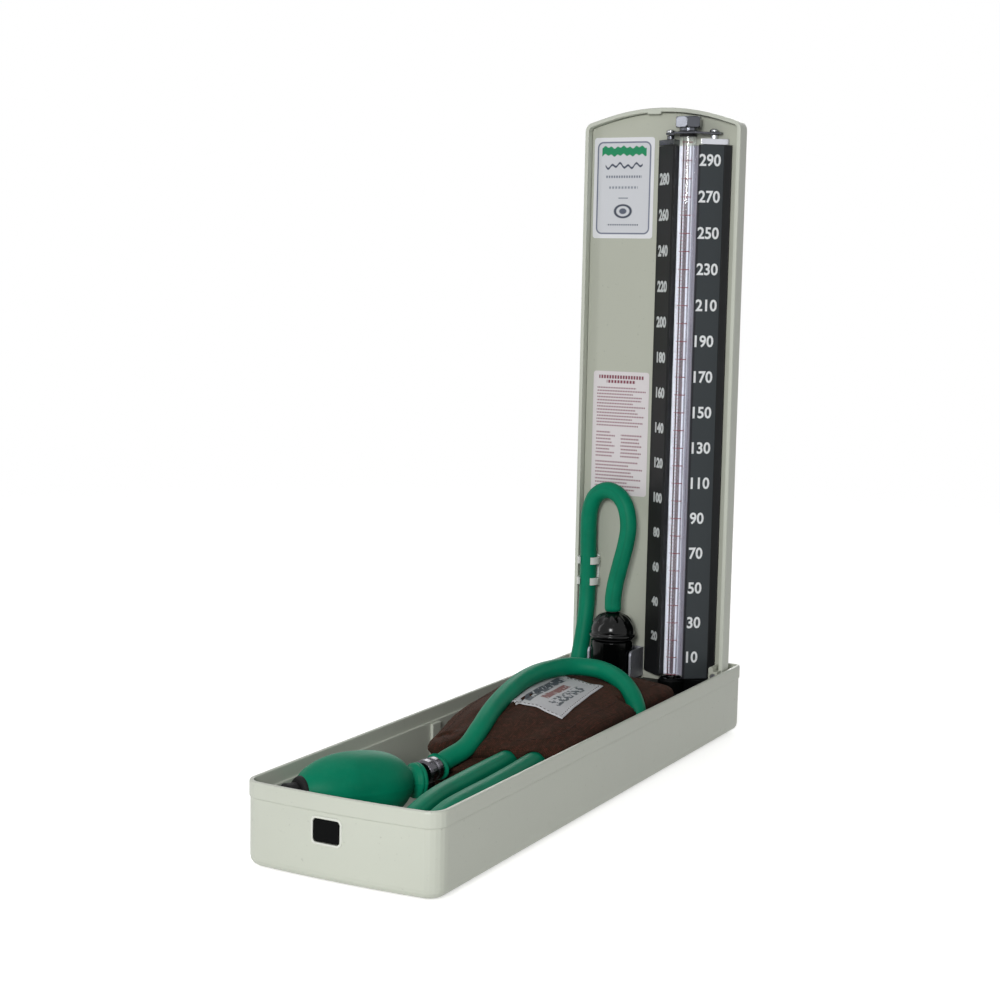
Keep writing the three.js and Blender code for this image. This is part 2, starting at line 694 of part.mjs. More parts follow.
// Foot block, reservoir and bracket.
function makeManifold() {
  const base = rod('z', manifoldRadius, manifoldBottom, manifoldTop, reservoirX, reservoirY, 36);
  const toe = rod('z', manifoldToe, manifoldBottom, manifoldTop, tubeX, tubeY, 28);
  const bar = block(reservoirX, tubeX, tubeY - 6, onPanel, manifoldBottom + 1.5, manifoldTop);
  const flange = block(
    reservoirX - manifoldRadius - manifoldTab, tubeX + manifoldToe + manifoldTab,
    onPanel - manifoldTabThickness, onPanel, manifoldBottom + 1.5, manifoldTop - 1,
  );
  const fromTube = glandRadius + seat;
  const shoulders = [
    [scaleLeft, tubeX - fromTube, glandTop - shoulderDrop], [tubeX + fromTube, scaleRight, glandTop],
  ].map(([left, right, top]) => (
    block(left, right, onPanel - shoulderDepth, onPanel, manifoldTop - 1, top)));
  const holes = manifoldScrewPlaces.map((x) => (
    rod('y', 1.6, onPanel - manifoldTabThickness - 1, onPanel + 1, x, manifoldScrewZ, 12)));
  const behind = block(-halfWidth, halfWidth, onPanel, onPanel + 5, -heelRadius, heelRadius);
  return cut(join(base, toe, bar, flange, ...shoulders), behind, ...holes);
}
const manifoldScrewZ = manifoldTop - manifoldHeight / 2;
const manifoldScrewPlaces = [
  reservoirX - manifoldRadius - manifoldTab / 2, tubeX + manifoldToe + manifoldTab / 2,
];
const manifold = makeManifold();
solidMesh(lid, 'manifold_block', manifold, blackSatin);

const bodyBottom = manifoldTop + seat;
const bodyTop = bodyBottom + reservoirHeight;
function onReservoir(geometry) {
  return geometry.translate(reservoirX, reservoirY, 0);
}
solidMesh(lid, 'reservoir_body', onReservoir(turned([
  [0, bodyBottom], [reservoirRadius + 0.6, bodyBottom], [reservoirRadius + 0.6, bodyBottom + 2],
  [reservoirRadius, bodyBottom + 2.8], [reservoirRadius, bodyTop - 0.8],
  [reservoirRadius - 0.8, bodyTop], [0, bodyTop],
], 40)), blackGloss);
const capGasketTop = bodyTop + seat + 0.7;
solidMesh(lid, 'cap_gasket',
  onReservoir(turned(ringProfile(boreRadius, reservoirRadius - 1, bodyTop + seat, capGasketTop), 32)),
  rubberFinish);

const capBase = capGasketTop + seat;
const capCrown = capBase + capDome;
function makeReservoirCap() {
  const sides = capFlutes * 4;
  const levels = [
    [0, capFlange - 0.5, 0], [0.5, capFlange, 0], [2, capFlange, 0], [2.5, capFlange - 0.9, 0],
    [3.2, capFlange - 0.9, 0.4],
  ];
  const domeSteps = 6;
  for (let i = 1; i <= domeSteps; i += 1) {
    const angle = (Math.PI / 2) * (i / domeSteps) * 0.86;
    const flute = Math.sin(Math.PI * (i / domeSteps) ** 0.8);
    levels.push([
      3.2 + (capDome - capNipple - 3.4) * Math.sin(angle), 0.3 + (capFlange - 1.2) * Math.cos(angle), flute,
    ]);
  }
  levels.push([capDome - capNipple, 3.4, 0], [capDome, 3.2, 0]);
  return loft(levels.map(([z, radius, flute]) => Array.from({ length: sides }, (_, i) => {
    const angle = (2 * Math.PI * i) / sides;
    const r = radius - 0.45 * flute * (1 + Math.cos(capFlutes * angle));
    return new THREE.Vector3(r * Math.cos(angle), r * Math.sin(angle), capBase + z);
  })));
}
solidMesh(lid, 'reservoir_cap', onReservoir(makeReservoirCap()), blackGloss);

// A strip bent round the reservoir's back, with its two ends pointing forwards.
function makeBracket() {
  const inner = reservoirRadius + seat;
  const outer = inner + bracketThickness;
  const low = bodyBottom + bracketFoot;
  const middle = low + bracketHeight / 2;
  const back = onPanel - reservoirY;
  const inside = back - bracketThickness;
  const outline = [
    [-outer, -bracketReach], [-inner, -bracketReach], [-inner, inside], [inner, inside],
    [inner, -bracketReach], [outer, -bracketReach], [outer, back], [-outer, back],
  ];
  const strip = prism(outline, 'z', low, low + bracketHeight).translate(reservoirX, reservoirY, 0);
  const ends = prism(
    roundedBox(reservoirY + 10, middle, 20 + 2 * bracketReach, bracketHeight, 2.5),
    'x', reservoirX - outer, reservoirX + outer,
  );
  const hole = rod('y', 1.4, reservoirY, onPanel + 1, reservoirX, middle, 12);
  return cut(common(strip, ends), hole);
}
solidMesh(lid, 'reservoir_bracket', makeBracket(), steelFinish);

manifoldScrewPlaces.forEach((x, i) => {
  const profile = [[0, 0], [2.6, 0], [2.6, 1], [1.6, 1.6], [0, 1.6]];
  const front = onPanel - manifoldTabThickness;
  const head = turned(profile, 16).rotateX(Math.PI / 2).translate(x, front - seat, manifoldScrewZ);
  const shank = rod('y', 1.3, front - 0.4, onPanel - 0.1, x, manifoldScrewZ, 12);
  solidMesh(lid, `manifold_screw_${i + 1}`, join(head, shank), steelFinish);
});

// Hose clip: a base on the panel with two pairs of claws, each a ring that is open at the front.
function makeClip() {
  const inner = hoseRadius + seat;
  const outer = inner + clipSkin;
  const claws = [clipBottom, clipBottom + clipHeight - clipClaw].map((z) => {
    const start = z - hingeHeight;
    const ring = [...arc(0, 0, outer, -52, 232, 22), ...arc(0, 0, inner, 232, -52, 22)];
    return prism(ring, 'z', start, start + clipClaw).translate(clipX, clipY, 0);
  });
  const start = clipBottom - hingeHeight;
  const end = start + clipHeight;
  const plate = block(clipX - 4.6, clipX + 4.6, clipY + inner + 0.1, onPanel, start - 1, end + 1);
  return join(plate, ...claws);
}
solidMesh(lid, 'hose_clip', makeClip(), whiteFinish);

// Latch: a button through the front wall, whose hook holds a lip inside the closed lid's end.
const wallInside = frontInner + seat;
const catchLip = hinge.y - (lidTop - lidWall - catchDepth);
const catchTop = hinge.z + lidRim + 1.3;
const armFront = catchLip + 0.5;
const armBack = armFront + 1.6;
const springEnd = armBack + seat + 7.6;

function makeLatch() {
  const outline = roundedBox(latchX, latchZ, buttonWidth, buttonHeight, 1.4);
  const face = prism(outline, 'y', -trayLength + 0.4, armBack);
  const flange = block(
    latchX - buttonWidth / 2 - 2, latchX + buttonWidth / 2 + 2, wallInside, wallInside + 1.4,
    latchZ - buttonHeight / 2 - 2, latchZ + buttonHeight / 2 + 2,
  );
  const half = catchWidth / 2 - 0.4;
  const hook = prism([
    [armFront, latchZ], [armBack, latchZ], [armBack, catchTop + 3.4], [armFront + 0.4, catchTop + 3.4],
    [armFront - 1.3, catchTop + 1], [armFront - 1.3, catchTop + seat], [armFront, catchTop + seat],
  ], 'x', latchX - half, latchX + half);
  return join(face, flange, hook);
}
solidMesh(bottom, 'latch_button', makeLatch(), blackSatin);

function makeLatchGuide() {
  const front = frontInner + 0.25 * frontBow + seat;
  const [inside, outside] = [buttonWidth / 2 + 2.5, buttonWidth / 2 + 4];
  const [low, high] = [latchZ - buttonHeight / 2 - 4, latchZ + buttonHeight / 2 + 1];
  const back = springEnd + seat;
  const outline = [
    [-outside - 5, front], [-inside, front], [-inside, back], [inside, back], [inside, front],
    [outside + 5, front], [outside + 5, front + 1.5], [outside, front + 1.5], [outside, back + 1.5],
    [-outside, back + 1.5], [-outside, front + 1.5], [-outside - 5, front + 1.5],
  ];
  const frame = prism(outline, 'z', low, high).translate(latchX, 0, 0);
  const shelf = block(latchX - outside, latchX + outside, front + 2, back + 1.5, low, low + 1.5);
  const peg = rod('y', 2, back - 2.5, back + 0.5, latchX, latchZ, 16);
  const holes = [-1, 1].map((way) => (
    rod('y', 1.5, front - 1, front + 3, latchX + way * (outside + 2.6), latchZ, 12)));
  return cut(join(frame, shelf, peg), ...holes);
}
solidMesh(bottom, 'latch_guide', makeLatchGuide(), blackSatin);

[-1, 1].forEach((way) => {
  const x = latchX + way * (buttonWidth / 2 + 6.6);
  const front = frontInner + 0.25 * frontBow + seat;
  const profile = [[0, 0], [2.3, 0], [2.3, 0.9], [1.4, 1.5], [0, 1.5]];
  const head = turned(profile, 16).rotateX(-Math.PI / 2).translate(x, front + 1.5 + seat, latchZ);
  const shank = rod('y', 1.2, front + 0.1, front + 2, x, latchZ, 12);
  solidMesh(bottom, `latch_screw_${way < 0 ? 'left' : 'right'}`, join(head, shank), steelFinish);
});

// Latch spring: one unbroken wire of even turns.
class SpringCurve extends THREE.Curve {
  getPoint(t, target = new THREE.Vector3()) {
    const angle = 2 * Math.PI * springTurns * t;
    const [start, end] = [armBack + seat + springWire / 2, springEnd - springWire / 2];
    return target.set(
      latchX + springRadius * Math.cos(angle), start + (end - start) * t,
      latchZ + springRadius * Math.sin(angle),
    );
  }
}
const springPoints = new SpringCurve().getPoints(8 * springTurns);
let springGap = Infinity;
springPoints.forEach((p, i) => springPoints.slice(i + 6).forEach((q) => {
  springGap = Math.min(springGap, p.distanceTo(q) - springWire);
}));
console.log(`least gap between the latch spring's turns: ${springGap.toFixed(2)} mm`);
solidMesh(bottom, 'latch_spring', tube(new SpringCurve(), springWire / 2, 5, 8 * springTurns), steelFinish);

// Hoses, routed by hand along their middle lines, in the case bottom's frame.
function route(points) {
  return new THREE.CatmullRomCurve3(points.map((p) => new THREE.Vector3(...p)), false, 'centripetal');
}
// A place in the case: y runs from its rear face where it is negative, from its front where positive.
function inCase(x, y, z) {
  const share = THREE.MathUtils.smoothstep(Math.abs(x), 14, 36);
  const across = x + Math.sign(x) * share * (halfWidth - drawnHalf);
  return [across, y > 0 ? y - trayLength : y, z];
}
function onLid(x, y, z) {
  return [inCase(x, 0, 0)[0], y + hinge.y, z + hinge.z];
}

const bulbCentre = new THREE.Vector3(bulbFromSide - halfWidth, bulbFromFront - trayLength, bulbHeight);
const valveEnd = bulbCentre.clone().add(valveFromBulb);
const reservoirHoseRoute = route([
  [reservoirX, reservoirY + hinge.y, capCrown + seat + hinge.z], ...[
    [-17.2, -6.8, 45.2], [-16.4, -6.3, 53.4], [-13.7, -5.8, 65.6], [-11, -5, 77.8],
    [-10.1, -4.4, 87.5], [-12.2, -3.6, 97.5], [-17.1, -2.8, 104.2], [-24.7, -1.8, 106.7],
    [-32, -1, 103.2], [-36.2, 0, 94.2], [-37.1, 0.7, 79.2],
  ].map((p) => onLid(...p)),
  [clipX, clipY + hinge.y, clipBottom + clipHeight], [clipX, clipY + hinge.y, clipBottom],
  onLid(-36.6, -0.8, 37.2), onLid(-36.4, -4.8, 23.2), ...[
    [-36.4, -36.6, 40], [-37, -40.5, 26], [-38, -46, 14.5], [-39.5, -57, 8.2], [-39, -75, 7.5],
    [-29, -105, 7.5], [-10, -140, 7.5], [9, 178, 7.5], [22, 145, 7.5], [26.6, 110, 7.5],
    [27, 70, 7.5], [27, 38, 7.8], [26, 24, 11], [23.8, 18.5, 17.5], [21.5, 23, 23.6],
    [20.2, 36, 26.7], [18.6, 54, 28], [17.6, 80, 28.4], [16.6, 105, 28.4], [16, 125.4, 28.3],
  ].map((p) => inCase(...p)),
]);
const bulbHoseRoute = route([
  [valveEnd.x, valveEnd.y + seat, valveEnd.z], [valveEnd.x, valveEnd.y + 2.8, valveEnd.z],
  [valveEnd.x + 1.4, valveEnd.y + 7.4, valveEnd.z + 2], ...[
    [-2.2, 117, 33.4], [-2.4, 131, 39.6], [-5.2, 148, 44.6], [-8, 170, 49],
    [-9.8, -157, 51.6], [-8.4, -136, 52.4], [-1, -119.5, 52.4], [12.5, -113.6, 51],
    [26.5, -117.8, 47.2], [36.4, -124, 40], [40.7, -128.5, 30], [40.8, -136, 18],
    [40, -152, 8.6], [39.5, 175, 7.5], [39.5, 135, 7.5], [39.5, 90, 7.5], [39.5, 50, 7.6],
    [39, 33, 8.6], [37.6, 21, 13.4], [35.6, 17.5, 19.6], [33.6, 23, 24.8], [32.4, 36, 27.4],
    [31.6, 58, 28], [31.2, 80, 28.1], [30, 105, 28.3], [28.6, 125.4, 28.4],
  ].map((p) => inCase(...p)),
]);
function hose(curve) {
  return tube(curve, hoseRadius, 10, Math.round(curve.getLength() / 9));
}
solidMesh(bottom, 'reservoir_hose', hose(reservoirHoseRoute), hoseFinish);
solidMesh(bottom, 'bulb_hose', hose(bulbHoseRoute), hoseFinish);
console.log(`reservoir hose ${reservoirHoseRoute.getLength().toFixed(0)} mm long`);
console.log(`bulb hose ${bulbHoseRoute.getLength().toFixed(0)} mm long`);

// Squeeze bulb, fuller towards its neck, with an inlet valve at its tail.
const bulb = new THREE.Group();
bulb.position.copy(bulbCentre);
const turnRadians = THREE.MathUtils.degToRad(bulbTurn);
const bulbAxis = new THREE.Vector3(Math.cos(turnRadians), Math.sin(turnRadians), -bulbDip).normalize();
bulb.quaternion.setFromUnitVectors(new THREE.Vector3(0, 0, 1), bulbAxis);
bottom.add(bulb);

const tailEnd = -bulbTail + 2.6;
const neckEnd = bulbNeck + 6;
function bulbProfile() {
  const profile = [[0, tailEnd]];
  const steps = 9;
  for (let i = 0; i <= steps; i += 1) {
    const t = (tailEnd * (steps - i)) / steps;
    profile.push([bulbRadius * (1 - (-t / bulbTail) ** 1.8) ** 0.75, t]);
  }
  for (let i = 1; i <= steps; i += 1) {
    const t = (bulbNeck * 0.955 * i) / steps;
    profile.push([bulbRadius * (1 - (t / bulbNeck) ** 2.6) ** 0.5, t]);
  }
  profile.push([6.4, bulbNeck], [6.6, bulbNeck + 1.4], [8, bulbNeck + 2.4]);
  profile.push([8.2, neckEnd - 1.4], [7.2, neckEnd], [0, neckEnd]);
  return profile;
}
solidMesh(bulb, 'bulb', turned(bulbProfile(), 28), hoseFinish);
const tailStart = tailEnd - seat;
solidMesh(bulb, 'bulb_tail_valve', turned([
  [0, tailStart], [3.4, tailStart], [tailRadius, tailStart - 1], [tailRadius, tailStart - tailLength + 1.6],
  [tailRadius - 1.2, tailStart - tailLength], [1.6, tailStart - tailLength],
  [1.6, tailStart - tailLength + 2], [0, tailStart - tailLength + 2],
], 20), rubberFinish);

// Release valve between the bulb's neck and its hose, with a thumb screw that points down.
const valveTop = valveEnd.y;
const valveFoot = valveTop - valveLength;
function makeValveBody() {
  const profile = [
    [0, valveFoot], [valveRadius - 1, valveFoot], [valveRadius, valveFoot + 1],
    [valveRadius, valveFoot + 4], [valveRadius - 1.2, valveFoot + 5],
    [valveRadius - 1.2, valveTop - 4.6], [valveRadius - 0.4, valveTop - 4],
    [valveRadius - 0.4, valveTop - 1], [hoseRadius, valveTop], [0, valveTop],
  ];
  const barrel = turned(profile, 28).rotateX(-Math.PI / 2).translate(valveEnd.x, 0, valveEnd.z);
  const boss = rod('z', 3.4, valveEnd.z - thumbBoss, valveEnd.z, valveEnd.x, valveTop - thumbBack, 20);
  return join(barrel, boss);
}
solidMesh(bottom, 'release_valve_body', makeValveBody(), blackSatin);

function makeThumbScrew() {
  const top = valveEnd.z - thumbBoss - seat;
  const sides = 36;
  const ring = (radius, z, knurl) => Array.from({ length: sides }, (_, i) => {
    const angle = (2 * Math.PI * i) / sides;
    const r = radius - knurl * (i % 2);
    return new THREE.Vector3(r * Math.cos(angle), r * Math.sin(angle), z);
  });
  return loft([
    ring(2, top, 0), ring(2, top - 1.6, 0), ring(thumbRadius - 0.5, top - 1.9, 0),
    ring(thumbRadius, top - 2.5, 0.4), ring(thumbRadius, top - thumbLength + 0.7, 0.4),
    ring(thumbRadius - 0.8, top - thumbLength, 0),
  ]).translate(valveEnd.x, valveTop - thumbBack, 0);
}
solidMesh(bottom, 'release_thumb_screw', makeThumbScrew(), chromeFinish);

// Folded cuff: a thick pack with a crease round it between its two halves.
const cuffPlan = [
  [-38, -92], [-40.5, -130], [-40.5, 175], [-40, 135], [-36, 112], [-24, 103.5], [-8, 107],
  [4, 117], [14, 125.8], [30, 125.8], [40, 131], [42.5, 150], [42.5, 185], [42.5, -120],
  [42, -85], [36, -70], [12, -68], [-14, -70.5], [-31, -76],
];
const cuffMiddle = inCase(0, -(trayLength - 40) / 2, 0);
const cuffReach = [42, 88];

function makeCuff() {
  const plan = new THREE.CatmullRomCurve3(
    cuffPlan.map(([x, y]) => new THREE.Vector3(...inCase(x, y, 0))), true, 'centripetal',
  ).getSpacedPoints(60).slice(0, -1);
  const rise = cuffCrown - cuffBottom;
  const levels = [
    [0, 6], [0.04, 2.4], [0.14, 0.3], [0.32, 0.4], [0.41, 2.4], [0.47, 2.5], [0.56, 0.2], [0.7, 0.1],
    [0.83, 2], [0.92, 6.5], [0.975, 14], [1, 24],
  ];
  const rings = levels.map(([share, inset]) => plan.map((p) => {
    const x = cuffMiddle[0] + (p.x - cuffMiddle[0]) * (1 - inset / cuffReach[0]);
    const y = cuffMiddle[1] + (p.y - cuffMiddle[1]) * (1 - inset / cuffReach[1]);
    const sag = 1 - 0.26 * THREE.MathUtils.smoothstep(cuffMiddle[1] - y, 20, 85);
    return new THREE.Vector3(x, y, cuffBottom + rise * share * sag);
  }));
  const ways = [bulbHoseRoute, reservoirHoseRoute].map((curve) => (
    tube(curve, hoseRadius + 0.5, 14, Math.round(curve.getLength() / 5))));
  return cut(loft(rings), ...ways);
}
solidMesh(bottom, 'cuff', makeCuff(), clothFinish);

export default group;
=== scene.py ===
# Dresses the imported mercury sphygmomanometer: rubber hoses and bulb, folded cuff, printed scale,
# labels and finishes. Shapes are drawn in millimetres of the case and placed in metres.
import json
import math

import bpy
import numpy as np
from mathutils import Matrix, Vector, noise
from mathutils.bvhtree import BVHTree
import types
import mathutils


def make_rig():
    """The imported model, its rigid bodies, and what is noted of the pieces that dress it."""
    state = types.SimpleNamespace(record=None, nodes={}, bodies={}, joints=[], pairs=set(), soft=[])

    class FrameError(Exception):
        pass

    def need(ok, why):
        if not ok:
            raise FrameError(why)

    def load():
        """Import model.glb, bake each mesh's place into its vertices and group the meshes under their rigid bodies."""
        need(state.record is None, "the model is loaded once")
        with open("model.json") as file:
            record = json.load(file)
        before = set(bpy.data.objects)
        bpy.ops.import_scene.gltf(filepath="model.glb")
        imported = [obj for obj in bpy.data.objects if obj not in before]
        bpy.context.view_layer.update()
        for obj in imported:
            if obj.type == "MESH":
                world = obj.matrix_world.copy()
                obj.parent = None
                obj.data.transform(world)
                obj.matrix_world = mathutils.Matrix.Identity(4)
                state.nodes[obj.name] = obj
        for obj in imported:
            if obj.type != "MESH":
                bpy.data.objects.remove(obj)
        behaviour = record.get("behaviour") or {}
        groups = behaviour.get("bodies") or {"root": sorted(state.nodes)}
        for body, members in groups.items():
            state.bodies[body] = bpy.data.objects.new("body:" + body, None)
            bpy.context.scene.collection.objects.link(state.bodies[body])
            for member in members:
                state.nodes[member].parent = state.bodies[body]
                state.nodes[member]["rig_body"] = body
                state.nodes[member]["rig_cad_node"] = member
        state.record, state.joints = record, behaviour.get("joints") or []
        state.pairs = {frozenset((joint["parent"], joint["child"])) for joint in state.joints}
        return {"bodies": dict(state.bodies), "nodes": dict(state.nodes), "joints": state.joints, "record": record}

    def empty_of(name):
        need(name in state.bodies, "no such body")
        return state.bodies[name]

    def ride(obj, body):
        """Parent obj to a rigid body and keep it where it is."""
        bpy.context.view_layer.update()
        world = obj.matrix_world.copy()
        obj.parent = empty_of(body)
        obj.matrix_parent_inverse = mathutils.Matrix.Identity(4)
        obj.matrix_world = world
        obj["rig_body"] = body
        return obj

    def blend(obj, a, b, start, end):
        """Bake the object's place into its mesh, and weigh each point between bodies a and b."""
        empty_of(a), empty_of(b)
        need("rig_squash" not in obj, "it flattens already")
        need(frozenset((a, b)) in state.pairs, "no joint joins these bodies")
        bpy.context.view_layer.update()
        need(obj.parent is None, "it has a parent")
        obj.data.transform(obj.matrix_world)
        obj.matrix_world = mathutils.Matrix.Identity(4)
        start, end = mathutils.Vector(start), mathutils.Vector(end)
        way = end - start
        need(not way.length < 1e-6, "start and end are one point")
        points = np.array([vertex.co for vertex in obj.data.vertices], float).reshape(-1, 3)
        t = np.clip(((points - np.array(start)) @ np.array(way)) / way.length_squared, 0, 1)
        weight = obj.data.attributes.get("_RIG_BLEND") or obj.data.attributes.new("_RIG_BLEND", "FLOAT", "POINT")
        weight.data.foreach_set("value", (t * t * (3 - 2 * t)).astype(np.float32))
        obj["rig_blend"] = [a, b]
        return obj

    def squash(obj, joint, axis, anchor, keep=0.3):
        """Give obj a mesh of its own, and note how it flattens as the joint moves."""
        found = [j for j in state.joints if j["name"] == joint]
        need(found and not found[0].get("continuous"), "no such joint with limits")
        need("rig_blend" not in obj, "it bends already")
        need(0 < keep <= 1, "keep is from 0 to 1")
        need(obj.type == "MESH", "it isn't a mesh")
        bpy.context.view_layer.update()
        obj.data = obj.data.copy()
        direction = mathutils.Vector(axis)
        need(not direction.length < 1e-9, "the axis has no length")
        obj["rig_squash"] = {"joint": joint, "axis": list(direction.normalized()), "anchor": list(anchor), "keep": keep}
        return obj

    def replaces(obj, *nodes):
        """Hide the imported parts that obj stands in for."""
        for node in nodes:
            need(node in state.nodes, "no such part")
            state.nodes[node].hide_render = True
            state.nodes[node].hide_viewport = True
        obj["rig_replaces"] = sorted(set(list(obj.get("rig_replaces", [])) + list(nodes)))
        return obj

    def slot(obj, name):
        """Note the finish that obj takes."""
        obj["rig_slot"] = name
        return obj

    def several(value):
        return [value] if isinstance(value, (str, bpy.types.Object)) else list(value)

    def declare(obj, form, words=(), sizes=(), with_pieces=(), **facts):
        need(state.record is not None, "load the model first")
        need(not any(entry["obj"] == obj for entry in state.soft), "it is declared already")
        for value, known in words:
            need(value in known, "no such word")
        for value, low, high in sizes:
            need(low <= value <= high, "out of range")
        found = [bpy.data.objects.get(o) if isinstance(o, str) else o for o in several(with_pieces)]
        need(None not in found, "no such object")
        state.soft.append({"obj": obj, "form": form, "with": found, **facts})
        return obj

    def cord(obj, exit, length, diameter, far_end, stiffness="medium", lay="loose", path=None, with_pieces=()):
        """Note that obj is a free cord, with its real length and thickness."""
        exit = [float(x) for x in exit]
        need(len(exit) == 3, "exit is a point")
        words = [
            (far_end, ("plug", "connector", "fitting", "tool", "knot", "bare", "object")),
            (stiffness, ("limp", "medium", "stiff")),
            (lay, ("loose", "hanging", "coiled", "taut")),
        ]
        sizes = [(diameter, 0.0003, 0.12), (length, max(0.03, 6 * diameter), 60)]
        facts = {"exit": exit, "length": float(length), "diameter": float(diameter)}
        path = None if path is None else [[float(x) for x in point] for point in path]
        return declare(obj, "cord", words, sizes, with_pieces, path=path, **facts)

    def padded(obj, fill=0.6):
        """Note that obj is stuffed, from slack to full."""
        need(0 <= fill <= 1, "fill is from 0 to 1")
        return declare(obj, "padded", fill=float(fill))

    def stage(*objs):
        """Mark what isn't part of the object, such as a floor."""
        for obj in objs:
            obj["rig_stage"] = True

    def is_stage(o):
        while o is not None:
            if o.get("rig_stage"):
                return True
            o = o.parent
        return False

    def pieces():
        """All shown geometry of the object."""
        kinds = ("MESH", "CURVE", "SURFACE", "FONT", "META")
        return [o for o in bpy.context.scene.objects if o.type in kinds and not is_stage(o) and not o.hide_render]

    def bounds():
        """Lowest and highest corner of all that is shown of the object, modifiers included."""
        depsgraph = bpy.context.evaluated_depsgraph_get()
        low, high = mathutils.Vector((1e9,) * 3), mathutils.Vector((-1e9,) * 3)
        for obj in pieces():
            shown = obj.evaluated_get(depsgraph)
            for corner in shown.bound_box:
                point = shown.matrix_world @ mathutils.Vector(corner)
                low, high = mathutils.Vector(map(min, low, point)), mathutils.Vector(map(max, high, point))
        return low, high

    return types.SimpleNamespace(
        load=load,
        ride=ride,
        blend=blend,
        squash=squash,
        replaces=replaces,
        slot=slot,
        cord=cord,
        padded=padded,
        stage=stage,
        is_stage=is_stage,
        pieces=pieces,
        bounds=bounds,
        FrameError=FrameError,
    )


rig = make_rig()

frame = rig.load()
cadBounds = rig.bounds()
nodes = frame["nodes"]

mm = 0.001
caseMiddle = 175.0  # drawings start at the case's rear face, the row at its middle
footProud = 1.0
hingeY, hingeZ = -27.25, 28.75  # the lid's own drawings start on the hinge axis


def inRow(point):
    x, y, z = point
    return Vector((x, y + caseMiddle, z + footProud)) * mm


def onLid(point):
    x, y, z = point
    return inRow((x, y + hingeY, z + hingeZ))


def around(sides):
    # The angles of evenly spread points of a circle.
    return [2 * math.pi * i / sides for i in range(sides)]


def addObject(name, data):
    body = bpy.data.objects.new(name, data)
    bpy.context.scene.collection.objects.link(body)
    return body


# Camera
camera = {
    "place": (409.6, -812.2, 256.85),
    "turn": 27.712,
    "tilt": -6.912,
    "roll": 1.148,
    "lens": 66.92,
    "sensor": 36.0,
}


def placeCamera():
    turn, tilt, roll = (math.radians(camera[k]) for k in ("turn", "tilt", "roll"))
    ahead = Vector((-math.sin(turn) * math.cos(tilt), math.cos(turn) * math.cos(tilt), math.sin(tilt)))
    level = Vector((math.cos(turn), math.sin(turn), 0))
    up = level.cross(ahead)
    right = math.cos(roll) * level + math.sin(roll) * up
    top = math.cos(roll) * up - math.sin(roll) * level
    data = bpy.data.cameras.new("photoCamera")
    data.lens = camera["lens"]
    data.sensor_width = camera["sensor"]
    data.clip_start = 0.01
    data.clip_end = 20
    body = addObject("photoCamera", data)
    turned = Matrix((right, top, -ahead)).transposed().to_4x4()
    body.matrix_world = Matrix.Translation(Vector(camera["place"]) * mm) @ turned
    bpy.context.scene.camera = body


placeCamera()
print("camera placed")


def declare(piece, body, slot, node=None):
    # The piece moves with the body, has the slot's finish, and stands for the CAD node where there is one.
    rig.ride(piece, body)
    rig.slot(piece, slot)
    if node:
        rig.replaces(piece, node)
    return piece


# Meshes
def addMesh(name, points, faces, material=None, smooth=True):
    mesh = bpy.data.meshes.new(name)
    mesh.from_pydata([tuple(p) for p in points], [], faces)
    mesh.update()
    if smooth:
        mesh.polygons.foreach_set("use_smooth", [True] * len(mesh.polygons))
    body = addObject(name, mesh)
    if material:
        mesh.materials.append(material)
    return body


def skin(rings, closeEnds=True):
    # Points and faces over rings of equally many points, with a fan at each end.
    count = len(rings[0])
    points = [Vector(p) for ring in rings for p in ring]
    faces = []
    for k in range(len(rings) - 1):
        for i in range(count):
            a, b = k * count + i, k * count + (i + 1) % count
            faces.append((a, b, b + count, a + count))
    if closeEnds:
        for ring, start, flip in ((rings[0], 0, True), (rings[-1], len(points) - count, False)):
            middle = sum((Vector(p) for p in ring), Vector()) / count
            tip = len(points)
            points.append(middle)
            for i in range(count):
                a, b = start + i, start + (i + 1) % count
                faces.append((b, a, tip) if flip else (a, b, tip))
    return points, faces


def catmull(points, step, closed=False, perSpan=24):
    # A centripetal Catmull-Rom line through the points, cut into even steps.
    pts = [np.array(p, float) for p in points]
    if closed:
        pts = [pts[-1]] + pts + [pts[0], pts[1]]
    else:
        pts = [2 * pts[0] - pts[1]] + pts + [2 * pts[-1] - pts[-2]]
    fine = []
    for i in range(1, len(pts) - 2):
        p0, p1, p2, p3 = pts[i - 1 : i + 3]
        pairs = ((p0, p1), (p1, p2), (p2, p3))
        d0, d1, d2 = (max(np.linalg.norm(b - a), 1e-6) ** 0.5 for a, b in pairs)
        m1 = ((p1 - p0) / d0 - (p2 - p0) / (d0 + d1) + (p2 - p1) / d1) * d1
        m2 = ((p2 - p1) / d1 - (p3 - p1) / (d1 + d2) + (p3 - p2) / d2) * d1
        for t in np.linspace(0, 1, perSpan, endpoint=False):
            fine.append(
                (2 * t**3 - 3 * t**2 + 1) * p1
                + (t**3 - 2 * t**2 + t) * m1
                + (-2 * t**3 + 3 * t**2) * p2
                + (t**3 - t**2) * m2
            )
    fine.append(pts[-2])
    fine = np.array(fine)
    run = np.concatenate([[0], np.cumsum(np.linalg.norm(np.diff(fine, axis=0), axis=1))])
    count = max(int(round(run[-1] / step)), 4)
    at = np.linspace(0, run[-1], count + 1)
    line = np.stack([np.interp(at, run, fine[:, k]) for k in range(3)], axis=1)
    return line[:-1] if closed else line


